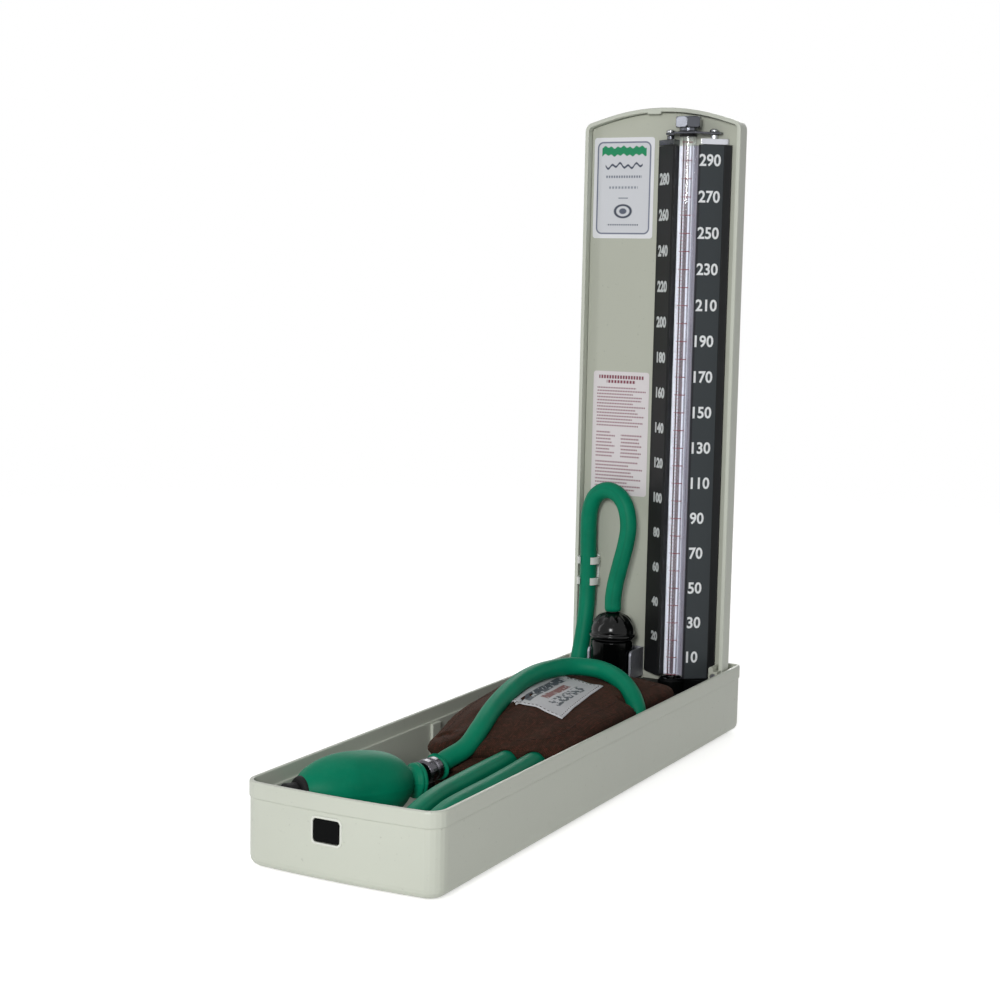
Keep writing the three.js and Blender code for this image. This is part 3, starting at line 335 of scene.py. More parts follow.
# Shader maths: a Wire is a socket that can be added, multiplied and so on.
class Wire:
    def __init__(self, socket):
        self.socket = socket

    def node(self, kind, inputs=None, settings=None, out=0):
        tree = self.socket.id_data
        made = tree.nodes.new(kind)
        for key, value in (settings or {}).items():
            setattr(made, key, value)
        for key, value in (inputs or {}).items():
            plug(made.inputs[key], value)
        return Wire(made.outputs[out])

    def calc(self, operation, *values):
        inputs = dict(enumerate((self,) + values))
        return self.node("ShaderNodeMath", inputs, {"operation": operation})

    def __add__(self, other):
        return self.calc("ADD", other)

    def __mul__(self, other):
        return self.calc("MULTIPLY", other)

    def __sub__(self, other):
        return self.calc("SUBTRACT", other)

    def __truediv__(self, other):
        return self.calc("DIVIDE", other)

    def __rsub__(self, other):
        return (self * -1.0) + other

    __radd__ = __add__
    __rmul__ = __mul__

    def above(self, edge, soft=0.0):
        if not soft:
            return self.calc("GREATER_THAN", edge)
        inputs = {"Value": self, "From Min": edge - soft, "From Max": edge + soft}
        return self.node("ShaderNodeMapRange", inputs, {"interpolation_type": "SMOOTHSTEP"})

    def noise(self, scale, detail, roughness):
        inputs = {"Vector": self, "Scale": scale, "Detail": detail, "Roughness": roughness}
        return self.node("ShaderNodeTexNoise", inputs)

    def stretched(self, size, turn=(0, 0, 0)):
        return self.node("ShaderNodeMapping", {"Vector": self, "Scale": size, "Rotation": turn})

    def split(self):
        return [self.node("ShaderNodeSeparateXYZ", {0: self}, out=k) for k in range(3)]

    def blend(self, low, high):
        # This wire picks between two colours.
        return self.node("ShaderNodeMix", {0: self, 6: low, 7: high}, {"data_type": "RGBA"}, out=2)


def plug(socket, value):
    if isinstance(value, Wire):
        socket.id_data.links.new(value.socket, socket)
    elif hasattr(value, "__len__") and len(value) == 3 and socket.type == "RGBA":
        socket.default_value = tuple(value) + (1,)
    else:
        socket.default_value = value


def colour(red, green, blue):
    # Display values from 0 to 255 as the linear colour that a shader takes.
    def linear(v):
        v /= 255
        return v / 12.92 if v <= 0.04045 else ((v + 0.055) / 1.055) ** 2.4

    return (linear(red), linear(green), linear(blue))


def shade(rgb, gain):
    return tuple(min(max(v * gain, 0), 1) for v in rgb)


def near(value, middle, half, soft=0.003):
    return 1 - (value - middle).calc("ABSOLUTE").above(half, soft)


def startFinish(name, fixed, coordinates="Object"):
    # A new material: its principled shader, and a Wire of the coordinates.
    material = bpy.data.materials.new(name)
    material.use_nodes = True
    tree = material.node_tree
    tree.nodes.clear()
    shader = tree.nodes.new("ShaderNodeBsdfPrincipled")
    output = tree.nodes.new("ShaderNodeOutputMaterial")
    tree.links.new(shader.outputs[0], output.inputs[0])
    for key, value in fixed.items():
        plug(shader.inputs[key], value)
    place = tree.nodes.new("ShaderNodeTexCoord")
    return material, shader, Wire(place.outputs[coordinates])


def setBump(shader, height, depth, rounded=0.0):
    # Height is 0 to 1, and depth its size in metres. Rounded softens edges of that radius.
    inputs = {"Height": height, "Distance": depth, "Strength": 1.0}
    if rounded:
        inputs["Normal"] = height.node("ShaderNodeBevel", {"Radius": rounded}, {"samples": 6})
    plug(shader.inputs["Normal"], height.node("ShaderNodeBump", inputs))


def filled(material, shader, tint, gloss, height, depth, rounded=0.0):
    # The material, once its colour, roughness and bump are in place.
    plug(shader.inputs["Base Color"], tint)
    plug(shader.inputs["Roughness"], gloss)
    setBump(shader, height, depth, rounded)
    return material


def edgeWear(place, radius):
    # 0 on flat faces and up to 1 along outer edges.
    soft = place.node("ShaderNodeBevel", {"Radius": radius}, {"samples": 6})
    plain = place.node("ShaderNodeNewGeometry", out=1)
    lean = plain.node("ShaderNodeVectorMath", {0: soft, 1: plain}, {"operation": "DOT_PRODUCT"}, out=1)
    return 1 - lean


# Plastics. Grain is the depth of the moulded grain, and edge the radius of softened edges, in metres.
plastics = {
    "casePlastic": {"base": colour(196, 200, 188), "roughness": 0.38, "edge": 0.0007},
    # A darker copy of the case plastic: painted shade on the lid's panel.
    "shadedPanelPlastic": {"base": colour(178, 181, 168), "roughness": 0.5, "grain": 0.000028, "edge": 0.0005},
    "blackPlastic": {"base": colour(4, 5, 5), "roughness": 0.36, "grain": 0.000015, "edge": 0.0004,
                     "dirt": 0.25, "shine": 0.06},
    "glossBlack": {"base": colour(3, 4, 4), "roughness": 0.1, "grain": 0.000002, "edge": 0.0005,
                   "dirt": 0.2, "shine": 0.13},
    "capBlack": {"base": colour(3, 4, 4), "roughness": 0.2, "grain": 0.000002, "coat": 1.0,
                 "dirt": 0.2, "shine": 0.0},
    "whitePlastic": {"base": colour(222, 224, 220), "roughness": 0.42, "grain": 0.00001, "edge": 0.0003},
    # A paler copy of the case plastic: a painted highlight on the window's rim.
    "litRimPlastic": {"base": colour(214, 217, 208), "roughness": 0.3},
    "blackRubber": {"base": colour(24, 24, 25), "roughness": 0.72, "grain": 0.00004, "edge": 0.0004,
                    "dirt": 0.3, "shine": 0.2},
}


def mouldedPlastic(name, base, roughness, grain=0.00002, edge=0.0, coat=0.0, dirt=0.05, shine=0.5):
    material, shader, place = startFinish(name, {
        "IOR": 1.5, "Specular IOR Level": shine,
        "Coat Weight": coat, "Coat IOR": 1.32, "Coat Roughness": 0.16})
    cloud = place.noise(9, 4, 0.55)
    speck = place.noise(520, 2, 0.6)
    tint = cloud.above(0.5, 0.3).blend(shade(base, 1 - dirt), shade(base, 1 + dirt * 0.4))
    tint = speck.above(0.72, 0.04).blend(tint, shade(base, 0.82))
    scuffs = place.stretched((14, 190, 60), (0.3, 0.2, 0.5)).noise(3.0, 2, 0.5).above(0.69, 0.02)
    gloss = cloud * (roughness * 0.4) + roughness * 0.8 + scuffs * (roughness * 0.4)
    if edge:
        # Lighter along outer edges: a painted edge highlight.
        edgeHighlight = edgeWear(place, edge * 1.6)
        tint = (edgeHighlight * 2.2).above(0.5, 0.4).blend(tint, shade(base, 1.09))
    height = place.noise(1500, 2, 0.6) * 0.7 + place.noise(240, 2, 0.5) * 0.3
    return filled(material, shader, tint, gloss, height, grain, edge)


moulded = {name: mouldedPlastic(name, **values) for name, values in plastics.items()}

# Metals. Rim is how much painted shade darkens the plating beside its edges.
metals = {
    "chromePlate": {"base": colour(176, 178, 182), "roughness": 0.14},
    # A darker copy of the chrome: painted shade.
    "shadedChrome": {"base": colour(98, 100, 106), "roughness": 0.14, "rim": 0.8},
    # A paler copy of the chrome: a painted highlight.
    "litChrome": {"base": colour(206, 208, 214), "roughness": 0.2},
    "plainSteel": {"base": colour(150, 152, 156), "roughness": 0.34, "brush": (0.15, 1, 6),
                   "depth": 0.000006},
    "valveMetal": {"base": colour(86, 85, 90), "roughness": 0.24, "brush": (1, 0.1, 1), "depth": 0.000003},
    "zincPlate": {"base": colour(168, 170, 178), "roughness": 0.5, "brush": (1, 1, 0.2), "depth": 0.000004},
}


def platedMetal(name, base, roughness, brush=(1, 1, 1), depth=0.000002, rim=0.0):
    material, shader, place = startFinish(name, {"Metallic": 1.0})
    lines = place.stretched(brush).noise(900, 3, 0.6)
    stain = place.noise(60, 3, 0.6)
    tint = stain.above(0.55, 0.2).blend(base, shade(base, 0.86))
    if rim:
        # Painted shade: the plating darker beside its edges.
        tint = (edgeWear(place, 0.0009).above(0.04, 0.04) * rim).blend(tint, shade(base, 0.12))
    gloss = lines * 0.12 + (roughness - 0.05) + stain * 0.05
    return filled(material, shader, tint, gloss, lines, depth, 0.0004)


plated = {name: platedMetal(name, **values) for name, values in metals.items()}


def liquidMetal():
    material, shader, place = startFinish("mercury", {"Metallic": 1.0})
    film = place.noise(700, 2, 0.5)
    plug(shader.inputs["Base Color"], film.blend(colour(196, 199, 204), colour(214, 216, 220)))
    plug(shader.inputs["Roughness"], film * 0.05 + 0.03)
    return material


def clearGlass():
    material, shader, place = startFinish(
        "tubeGlass", {"IOR": 1.12, "Transmission Weight": 1.0, "Base Color": (0.96, 0.97, 0.98),
                      "Coat Weight": 0.35, "Coat Roughness": 0.05})
    smear = place.stretched((1, 1, 0.2)).noise(160, 3, 0.6)
    plug(shader.inputs["Roughness"], smear.above(0.62, 0.1) * 0.05 + 0.01)
    # Light falls through the glass onto what is behind it.
    shadow = place.node("ShaderNodeLightPath", out=1)
    clear = place.node("ShaderNodeBsdfTransparent", {"Color": (0.94, 0.96, 0.96)})
    mixed = place.node("ShaderNodeMixShader", {0: shadow, 1: Wire(shader.outputs[0]), 2: clear})
    plug(material.node_tree.nodes["Material Output"].inputs[0], mixed)
    return material


# Rubber of the hoses and the bulb, on its own UV: u once round, v in metres along.
rubberFinish = {
    "colour": colour(2, 121, 90),
    "chalk": colour(92, 158, 130),
    "bloom": 0.03,
}


def greenRubber(name, seamWidth, roughness):
    material, shader, place = startFinish(name, {"IOR": 1.52, "Specular IOR Level": 0.1})
    base = rubberFinish["colour"]
    across, along, _ = place.node("ShaderNodeUVMap").split()
    cloud = place.noise(38, 4, 0.6)
    chalk = place.noise(260, 3, 0.7).above(0.6, 0.12) * rubberFinish["bloom"]
    tint = cloud.above(0.5, 0.25).blend(shade(base, 0.86), shade(base, 1.1))
    tint = chalk.blend(tint, rubberFinish["chalk"])
    seam = 1 - (across - 0.5).calc("ABSOLUTE").above(seamWidth, seamWidth * 0.6)
    tint = (seam * 0.35).blend(tint, shade(base, 0.7))
    gloss = cloud * 0.15 + roughness + chalk * 0.3
    draw = place.noise(900, 2, 0.6) * 0.5 + (along * 5200.0).calc("SINE") * 0.03
    return filled(material, shader, tint, gloss, draw + seam * 0.5, 0.00003)


hoseRubber = greenRubber("hoseRubber", seamWidth=0.016, roughness=0.4)
bulbRubber = greenRubber("bulbRubber", seamWidth=0.006, roughness=0.42)
print("plastics, metals and rubber ready")


# Hoses: routes are the middle lines that the case's hoses follow.
hose = {
    "diameter": 9.4,
    "sides": 36,
    "step": 1.6,
    "onNipple": 1.6,  # the reservoir hose is pushed this far over its nipple
    "intoCuff": 9.0,
    "bead": (2.4, 1.9, 1.7),  # at the valve: its place along the hose, height and half length
    "rolled": (0.8, 0.35),  # at each end: length, and how much thinner the tip is
    "splitAt": -80.0,  # behind this place the reservoir hose bends with the lid
}
clip = {"x": -36.9, "y": 0.9, "bottom": 51.25, "height": 16.0}
nippleTop = 40.25  # in the lid's drawing
valveEnd = (-7.9, -252.4, 27.2)

reservoirPoints = (
    [(-17, -7 + hingeY, nippleTop - hose["onNipple"] + hingeZ)]
    + [
        (x, y + hingeY, z + hingeZ)
        for x, y, z in (
            (-17.2, -6.8, 45.2), (-16.4, -6.3, 53.4), (-13.7, -5.8, 65.6), (-11, -5, 77.8),
            (-10.1, -4.4, 87.5), (-12.2, -3.6, 97.5), (-17.1, -2.8, 104.2), (-24.7, -1.8, 106.7),
            (-32, -1, 103.2), (-36.2, 0, 94.2), (-37.1, 0.7, 79.2),
            (clip["x"], clip["y"], clip["bottom"] + clip["height"]), (clip["x"], clip["y"], clip["bottom"]),
            (-36.6, -0.8, 37.2), (-36.4, -4.8, 23.2),
        )
    ]
    + [
        (-36.4, -36.6, 40), (-37, -40.5, 26), (-38, -46, 14.5), (-39.5, -57, 8.2), (-39, -75, 7.5),
        (-29, -105, 7.5), (-10, -140, 7.5), (9, -172, 7.5), (22, -205, 7.5), (26.6, -240, 7.5),
        (27, -280, 7.5), (27, -312, 7.8), (26, -326, 11), (23.8, -331.5, 17.5), (21.5, -327, 23.6),
        (20.2, -314, 26.7), (18.6, -296, 28), (17.6, -270, 28.4), (16.6, -245, 28.4),
        (16, -224.6, 28.3), (15.6, -224.6 + hose["intoCuff"], 28.1),
    ]
)
bulbHosePoints = [
    (valveEnd[0], valveEnd[1] + 0.3, valveEnd[2]), (valveEnd[0], valveEnd[1] + 2.8, valveEnd[2]),
    (-6.5, -245, 29.2), (-2.2, -233, 33.4), (-2.4, -219, 39.6), (-5.2, -202, 44.6), (-8, -180, 49),
    (-9.8, -157, 51.6), (-8.4, -136, 52.4), (-1, -119.5, 52.4), (12.5, -113.6, 51),
    (26.5, -117.8, 47.2), (36.4, -124, 40), (40.7, -128.5, 30), (40.8, -136, 18), (40, -152, 8.6),
    (39.5, -175, 7.5), (39.5, -215, 7.5), (39.5, -260, 7.5), (39.5, -300, 7.6), (39, -317, 8.6),
    (37.6, -329, 13.4), (35.6, -332.5, 19.6), (33.6, -327, 24.8), (32.4, -314, 27.4), (31.6, -292, 28),
    (31.2, -270, 28.1), (30, -245, 28.3), (28.6, -224.6, 28.4), (28.0, -224.6 + hose["intoCuff"], 28.2),
]


def makeHose(name, line, beads=()):
    # A round tube along the line, with rolled ends and a bead at each place in beads.
    radius, sides = hose["diameter"] / 2, hose["sides"]
    run = np.concatenate([[0], np.cumsum(np.linalg.norm(np.diff(line, axis=0), axis=1))])
    length = run[-1]
    ahead = np.gradient(line, axis=0)
    ahead /= np.linalg.norm(ahead, axis=1)[:, None]
    side = np.cross(ahead[0], (0.3, 0.1, 1.0))
    side /= np.linalg.norm(side)
    rings, stations = [], []
    for k, (point, forward) in enumerate(zip(line, ahead)):
        side = side - forward * np.dot(side, forward)
        side /= np.linalg.norm(side)
        over = np.cross(forward, side)
        r = radius
        for place, extra, half in beads:
            r += extra * max(0.0, 1 - ((run[k] - place) / half) ** 2)
        tipLength, thinner = hose["rolled"]
        r -= thinner * max(0.0, 1 - min(run[k], length - run[k]) / tipLength)
        rings.append([inRow(point + r * (math.cos(a) * side + math.sin(a) * over)) for a in around(sides)])
        stations.append(run[k])
    points3, faces = skin(rings)
    body = addMesh(name, points3, faces, hoseRubber)
    wrapUv(body, len(rings), sides, stations)
    path = [tuple(inRow(p)) for p in line]
    return body, path, length * mm


def wrapUv(body, ringCount, sides, stations):
    # u runs once round, v along in metres; ends take the nearest ring's v.
    layer = body.data.uv_layers.new(name="wrap")
    total = ringCount * sides
    for face in body.data.polygons:
        first = face.vertices[0]
        columns = [v % sides for v in face.vertices if v < total]
        wraps = max(columns) - min(columns) > sides / 2
        for loop, v in zip(face.loop_indices, face.vertices):
            if v >= total:
                row, column = (0 if first < total / 2 else ringCount - 1), min(columns)
            else:
                row, column = divmod(v, sides)
            if wraps and column < sides / 2:
                column += sides
            layer.data[loop].uv = (column / sides, stations[row] * mm)


reservoirLine = catmull(reservoirPoints, hose["step"])
splitPlace = int(np.argmax(reservoirLine[:, 1] < hose["splitAt"]))
reservoirHose, reservoirPath, reservoirLength = makeHose("reservoirHose", reservoirLine[: splitPlace + 1])
trayHose, trayPath, trayLength = makeHose("trayHose", reservoirLine[splitPlace:])
bulbHose, bulbPath, bulbLength = makeHose(
    "bulbHose", catmull(bulbHosePoints, hose["step"] / 2), beads=[hose["bead"]])
print("hoses made:", round(reservoirLength, 3), round(trayLength, 3), round(bulbLength, 3))


# Squeeze bulb
bulb = {
    "middle": (-22.16, -298.35, 27.09),
    "turn": 64.0,
    "dip": 0.06,
    "radius": 16.1,
    "tail": 32.5,
    "neck": 28.5,
    "tailCut": 2.6,
    "neckCut": 0.955,
    "sides": 144,
    "rows": 111,
    "seam": 0.16,
    "dent": 0.35,
    # Places and radii: of the rolled collar past the neck, and of the inlet valve's ring at the tail.
    "rolls": ((0, 6.4), (0.5, 6.3), (1.2, 6.6), (1.7, 7.6), (2.4, 8.1), (3.1, 8.2), (3.5, 7.7), (3.8, 7.7),
              (4.2, 8.2), (4.8, 8.2), (5.4, 7.9), (5.8, 7.3), (6.0, 6.2)),
    "ring": ((-30.4, 5.8), (-30.2, 6.5), (-29.4, 7.0)),
    "ringLip": ((-28.5, 0.3), (-28.2, -0.4)),  # radii from the bulb's own
}


def bulbFrame():
    turn = math.radians(bulb["turn"])
    axis = Vector((math.cos(turn), math.sin(turn), -bulb["dip"])).normalized()
    side = axis.cross(Vector((0, 0, 1))).normalized()
    return axis, side, side.cross(axis)


def bulbRadius(t):
    if t < 0:
        return bulb["radius"] * max(1 - (-t / bulb["tail"]) ** 2.2, 0) ** 0.6
    return bulb["radius"] * max(1 - (t / bulb["neck"]) ** 2.6, 0) ** 0.5


def makeBulb():
    axis, side, over = bulbFrame()
    start, neck = -bulb["tail"] + bulb["tailCut"], bulb["neck"]
    places = np.linspace(start, bulb["neckCut"] * neck, bulb["rows"])
    profile = [(t, bulbRadius(t)) for t in places] + [(neck + t, r) for t, r in bulb["rolls"]]
    rings, stations = [], []
    for t, radius in profile:
        ring = []
        for angle in around(bulb["sides"]):
            lean = abs(math.sin(angle))
            seam = bulb["seam"] * math.exp(-((lean / 0.03) ** 2)) * min(1, radius / 6)
            place = Vector((t * 0.04, math.cos(angle) * 0.8, math.sin(angle) * 0.8))
            dent = bulb["dent"] * noise.noise(place)
            r = radius + seam + (dent if abs(t) < neck - 3 else 0)
            spot = Vector(bulb["middle"]) + axis * t + (side * math.cos(angle) + over * math.sin(angle)) * r
            ring.append(inRow(spot))
        rings.append(ring)
        stations.append(t - start)
    points, faces = skin(rings)
    body = addMesh("squeezeBulb", points, faces, bulbRubber)
    wrapUv(body, len(rings), bulb["sides"], stations)
    return body


def makeTailCollar():
    # Black rubber ring round the bulb's free end, where its inlet valve sits.
    axis, side, over = bulbFrame()
    spokes = [side * math.cos(a) + over * math.sin(a) for a in around(64)]
    rings = []
    for t, radius in bulb["ring"] + tuple((t, bulbRadius(t) + out) for t, out in bulb["ringLip"]):
        middle = Vector(bulb["middle"]) + axis * t
        rings.append([inRow(middle + spoke * radius) for spoke in spokes])
    points, faces = skin(rings)
    return addMesh("tailCollar", points, faces, moulded["blackRubber"])


tailCollar = declare(makeTailCollar(), "base", "black_rubber")
squeezeBulb = declare(makeBulb(), "base", "hose_rubber", "bulb")
print("bulb made")


# Folded cuff: four thick layers of cloth; the top one is fuller and reaches over the hoses.
cuff = {
    "bottom": 12.7,
    "crown": 47.0,
    "middle": (0.0, -155.0),
    "reach": (42.0, 88.0),
    "around": 520,
    "topRows": 36,
    "topFrom": 0.8,  # share of the height where the top layer turns inwards
    "topInset": (2.2, 38.6),  # there, and how much further in the top's middle is
    "deepest": 0.985,  # share of the reach that a row may be drawn in
    "loose": (0.35, 0.9),  # how far the sides are drawn in, and how much that varies
    "archGap": 0.9,  # between the cloth and the bulb hose over it
    "strandGap": 0.35,  # between the hoses at the front and the cloth over them
    "seamInset": 8.0,
    "pitch": 0.00075,  # of the weave
    "colour": colour(53, 37, 28),
    "fleck": colour(92, 52, 43),
    "stitch": colour(46, 31, 25),
}
# Outlines of the lower, middle and upper layers.
cuffPlans = [
    [
        (-38, -92), (-40.5, -130), (-40.5, -172), (-37.5, -200), (-31, -219), (-24, -232), (-14.5, -243),
        (-5, -248), (-1.5, -257), (4, -263.5), (9.5, -258), (11.2, -244), (12, -231), (16, -222.5),
        (31, -221), (40, -217), (42.3, -200), (42.3, -165), (42.3, -120), (42, -85), (36, -68), (12, -65),
        (-14, -68.5), (-31, -76),
    ],
    [
        (-38, -92), (-40.3, -130), (-40, -170), (-36.5, -197), (-30.5, -216), (-23.5, -232), (-14, -241.5),
        (-3, -243), (5, -238.5), (10.5, -231), (14, -222), (24, -219), (33, -215), (40, -212), (42.3, -198),
        (42.3, -165), (42.3, -120), (42, -85), (36, -68), (12, -65), (-14, -68.5), (-31, -76),
    ],
    [
        (-37.5, -93), (-39.5, -128), (-38.2, -163), (-34.6, -190), (-30.2, -210), (-26.5, -225),
        (-20.5, -237), (-12, -240.5), (-3, -237), (5, -231.5), (12, -228.4), (18, -227.2), (25, -224.6),
        (32, -221.6), (38.5, -216.5), (42, -206), (42.6, -190), (42.6, -160), (42.4, -120), (41.6, -86),
        (35, -69.5), (12, -66.5), (-14, -70.5), (-30.5, -78),
    ],
]
# Height as a share of the side or crown, inset in millimetres, and which outline it follows.
cuffRows = [
    (0.0, 9.0, 0), (0.0, 5.0, 0), (0.015, 2.4, 0), (0.05, 0.9, 0), (0.1, 0.3, 0), (0.15, 0.9, 0),
    (0.175, 2.6, 0), (0.2, 2.4, 0), (0.23, 0.8, 0), (0.27, 0.3, 0), (0.31, 0.9, 0), (0.335, 2.4, 0),
    (0.345, 4.4, 0), (0.35, 4.4, 0.3), (0.355, 3.8, 0.7), (0.36, 2.8, 1), (0.385, 1.2, 1), (0.43, 0.2, 1),
    (0.48, 0.6, 1), (0.52, 2.4, 1), (0.54, 4.6, 1.2), (0.555, 4.8, 1.8), (0.565, 3.2, 2), (0.59, 1.3, 2),
    (0.64, 0.2, 2), (0.7, 0.0, 2), (0.76, 0.8, 2), (0.8, 2.2, 2),
]


def smoothstep(low, high, value):
    t = min(max((value - low) / (high - low), 0), 1)
    return t * t * (3 - 2 * t)


def spreadOutline(plan):
    line = catmull([(x, y, 0) for x, y in plan], 0.4, closed=True)
    run = np.arange(len(line) + 1)
    wanted = np.linspace(0, len(line), cuff["around"], endpoint=False)
    looped = np.vstack([line, line[:1]])
    return np.stack([np.interp(wanted, run, looped[:, k]) for k in range(2)], axis=1)


hoseLines = [np.array(p) / mm - np.array((0, caseMiddle, footProud)) for p in (trayPath, bulbPath)]
archPart = hoseLines[1][hoseLines[1][:, 2] > 26]
arch = archPart[: int(np.argmax(archPart[:, 0] > 40))]  # the bulb hose where it lies on the cuff
strands = np.vstack([p[(p[:, 2] > 25) & (p[:, 1] < -205) & (p[:, 0] > 12)] for p in hoseLines])


def nearLine(line, x, y):
    away = np.hypot(line[:, 0] - x, line[:, 1] - y)
    k = int(np.argmin(away))
    return away[k], line[k][2]


def cuffHeight(x, y, share):
    # Height of a point of the cuff before it meets the hoses.
    middle = cuff["middle"]
    top = smoothstep(0.78, 0.86, share)
    frontSag = 0.2 * smoothstep(12, 72, middle[1] - y)
    rearSag = 0.1 * smoothstep(50, 88, y - middle[1])
    leftSag = 0.1 * smoothstep(15, 38, -x) * smoothstep(-125, -165, y)
    crown = (cuff["crown"] - cuff["bottom"]) * (1 - frontSag - rearSag - leftSag)
    z = cuff["bottom"] + crown * share
    soft = 0.9 * noise.noise(Vector((x * 0.045, y * 0.03, share * 3)))
    soft += 0.45 * noise.noise(Vector((x * 0.12, y * 0.07, 5 + share * 3)))
    if share > 0.02:
        z += soft * (0.4 + 0.9 * top)
    # Soft pleats run back from the front edge, and a hem follows it.
    pleat = math.sin((x * 0.9 - (y + 235) * 0.25) * 0.42) * math.exp(-(((y + 222) / 15) ** 2))
    z += 0.5 * pleat * top
    # A small rolled loop near the front left corner.
    loop = math.hypot(x + 18.5, y + 224.5)
    roll = 0.8 * math.exp(-(((loop - 5.2) / 1.3) ** 2))
    groove = 1.7 * math.exp(-(((loop - 3.4) / 0.8) ** 2))
    return z + top * smoothstep(-228, -224, y) * (roll - groove)


def meetHoses(x, y, z, share):
    # The cloth dips under the bulb hose, and rises over the hoses that enter its front.
    radius = hose["diameter"] / 2

    def halfWidth(away):
        return math.sqrt(max(radius**2 - min(away, radius) ** 2, 0))

    away, height = nearLine(arch, x, y)
    if away < radius + 7:
        under = height - halfWidth(away) - cuff["archGap"]
        z = min(z, under + 0.9 * max(0, away - radius) ** 1.2)
    if share > 0.57:
        away, height = nearLine(strands, x, y)
        if away < radius + 5:
            over = height + halfWidth(away) + cuff["strandGap"] - max(0, away - radius) * 0.7
            z = max(z, over + 1.5 * smoothstep(0.58, 0.8, share))
    return max(z, cuff["bottom"])


def makeCuff():
    plans = [spreadOutline(plan) for plan in cuffPlans]
    middle = np.array(cuff["middle"])
    reach = np.array(cuff["reach"])
    drawnIn, varies = cuff["loose"]
    rows = list(cuffRows)
    for i in range(1, cuff["topRows"] + 1):
        t = i / cuff["topRows"]
        share = cuff["topFrom"] + (1 - cuff["topFrom"]) * (1 - (1 - t) ** 2.2)
        rows.append((share, cuff["topInset"][0] + cuff["topInset"][1] * t, 2))
    rings = []
    for share, inset, which in rows:
        low = min(int(which), 1)
        plan = plans[low] * (1 - which + low) + plans[low + 1] * (which - low)
        top = smoothstep(0.78, 0.86, share)
        ring = []
        for p in plan:
            offset = p - middle
            loose = noise.noise(Vector((offset[0] * 0.03, offset[1] * 0.03, math.floor(share * 5.4) * 7.1)))
            drawn = inset + (1 - top) * (varies * loose + drawnIn)
            x, y = middle + offset * (1 - np.minimum(drawn / reach, cuff["deepest"]))
            ring.append(inRow((x, y, meetHoses(x, y, cuffHeight(x, y, share), share))))
        rings.append(ring)
    points, faces = skin(rings)
    return addMesh("foldedCuff", points, faces)


def setUv(body, name, spot):
    # Each corner of each face gets the UV that spot gives for the face and the vertex.
    layer = body.data.uv_layers.new(name=name)
    for face in body.data.polygons:
        for loop, v in zip(face.loop_indices, face.vertices):
            layer.data[loop].uv = spot(face, v)


def clothSpot(face, v):
    # Flat, in metres, from above or from the side that the face looks to.
    normal, co = face.normal, foldedCuff.data.vertices[v].co
    if abs(normal.z) > 0.55:
        return co.x, co.y
    return (co.y, co.z) if abs(normal.x) > abs(normal.y) else (co.x, co.z)


def cottonCloth(name, base, fleck):
    material, shader, place = startFinish(name, {
        "Sheen Weight": 0.03, "Sheen Roughness": 0.6, "Sheen Tint": (0.75, 0.5, 0.4), "IOR": 1.4,
        "Specular IOR Level": 0.1})
    across, along, _ = place.node("ShaderNodeUVMap").split()
    turnRate = math.pi / cuff["pitch"]
    wobble = place.noise(420, 2, 0.6) * 0.9
    warp = (across * turnRate + wobble).calc("SINE")
    weft = (along * turnRate + wobble).calc("SINE")
    over = (warp * weft).above(0.0, 0.35)
    thread = over * warp.calc("ABSOLUTE") + (1 - over) * weft.calc("ABSOLUTE")
    cloud = place.noise(30, 5, 0.65)
    mottle = place.noise(420, 3, 0.7)
    slub = place.stretched((1, 0.12, 1)).noise(900, 2, 0.5).above(0.62, 0.06)
    tint = cloud.above(0.48, 0.22).blend(shade(base, 0.78), shade(base, 1.2))
    tint = (mottle.above(0.56, 0.14) * 0.55).blend(tint, fleck)
    tint = (slub * 0.5).blend(tint, fleck)
    tint = thread.above(0.45, 0.35).blend(shade(base, 0.5), tint)
    height = thread * 0.75 + place.noise(2600, 2, 0.6) * 0.25
    return filled(material, shader, tint, thread * -0.1 + 0.92, height, 0.00018)


cuffCloth = cottonCloth("cuffCloth", cuff["colour"], cuff["fleck"])
foldedCuff = makeCuff()
foldedCuff.data.materials.append(cuffCloth)
setUv(foldedCuff, "weave", clothSpot)
cuffTree = BVHTree.FromPolygons(
    [v.co for v in foldedCuff.data.vertices], [tuple(p.vertices) for p in foldedCuff.data.polygons])
declare(foldedCuff, "base", "cuff_cloth", "cuff")
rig.padded(foldedCuff, fill=0.55)
print("cuff made:", len(foldedCuff.data.polygons), "faces")


def ontoCuff(x, y, lift):
    # The spot on top of the cuff, lifted by some millimetres.
    start = inRow((x, y, 90))
    hit = cuffTree.ray_cast(start, Vector((0, 0, -1)))[0]
    return Vector((start.x, start.y, hit.z + lift * mm))


# Geometry Nodes: a tree is built from Wires too, run once and kept as a plain mesh.
def runTree(name, host, values, build, material):
    # Each value becomes a named input; build gets the inputs' Wires and returns geometry.
    tree = bpy.data.node_groups.new(name, "GeometryNodeTree")
    tree.interface.new_socket("Geometry", in_out="INPUT", socket_type="NodeSocketGeometry")
    made = {}
    for key, value in values.items():
        made[key] = tree.interface.new_socket(key, in_out="INPUT", socket_type="NodeSocketFloat")
    tree.interface.new_socket("Geometry", in_out="OUTPUT", socket_type="NodeSocketGeometry")
    entry = tree.nodes.new("NodeGroupInput")
    wires = {key: Wire(entry.outputs[key]) for key in values}
    wires["Geometry"] = Wire(entry.outputs["Geometry"])
    shape = build(wires)
    real = shape.node("GeometryNodeRealizeInstances", {0: shape})
    done = real.node("GeometryNodeSetMaterial", {"Geometry": real, "Material": material})
    plug(tree.nodes.new("NodeGroupOutput").inputs[0], done)
    modifier = host.modifiers.new(name, "NODES")
    modifier.node_group = tree
    for key, value in values.items():
        modifier[made[key].identifier] = value
    return keepMesh(name, host)


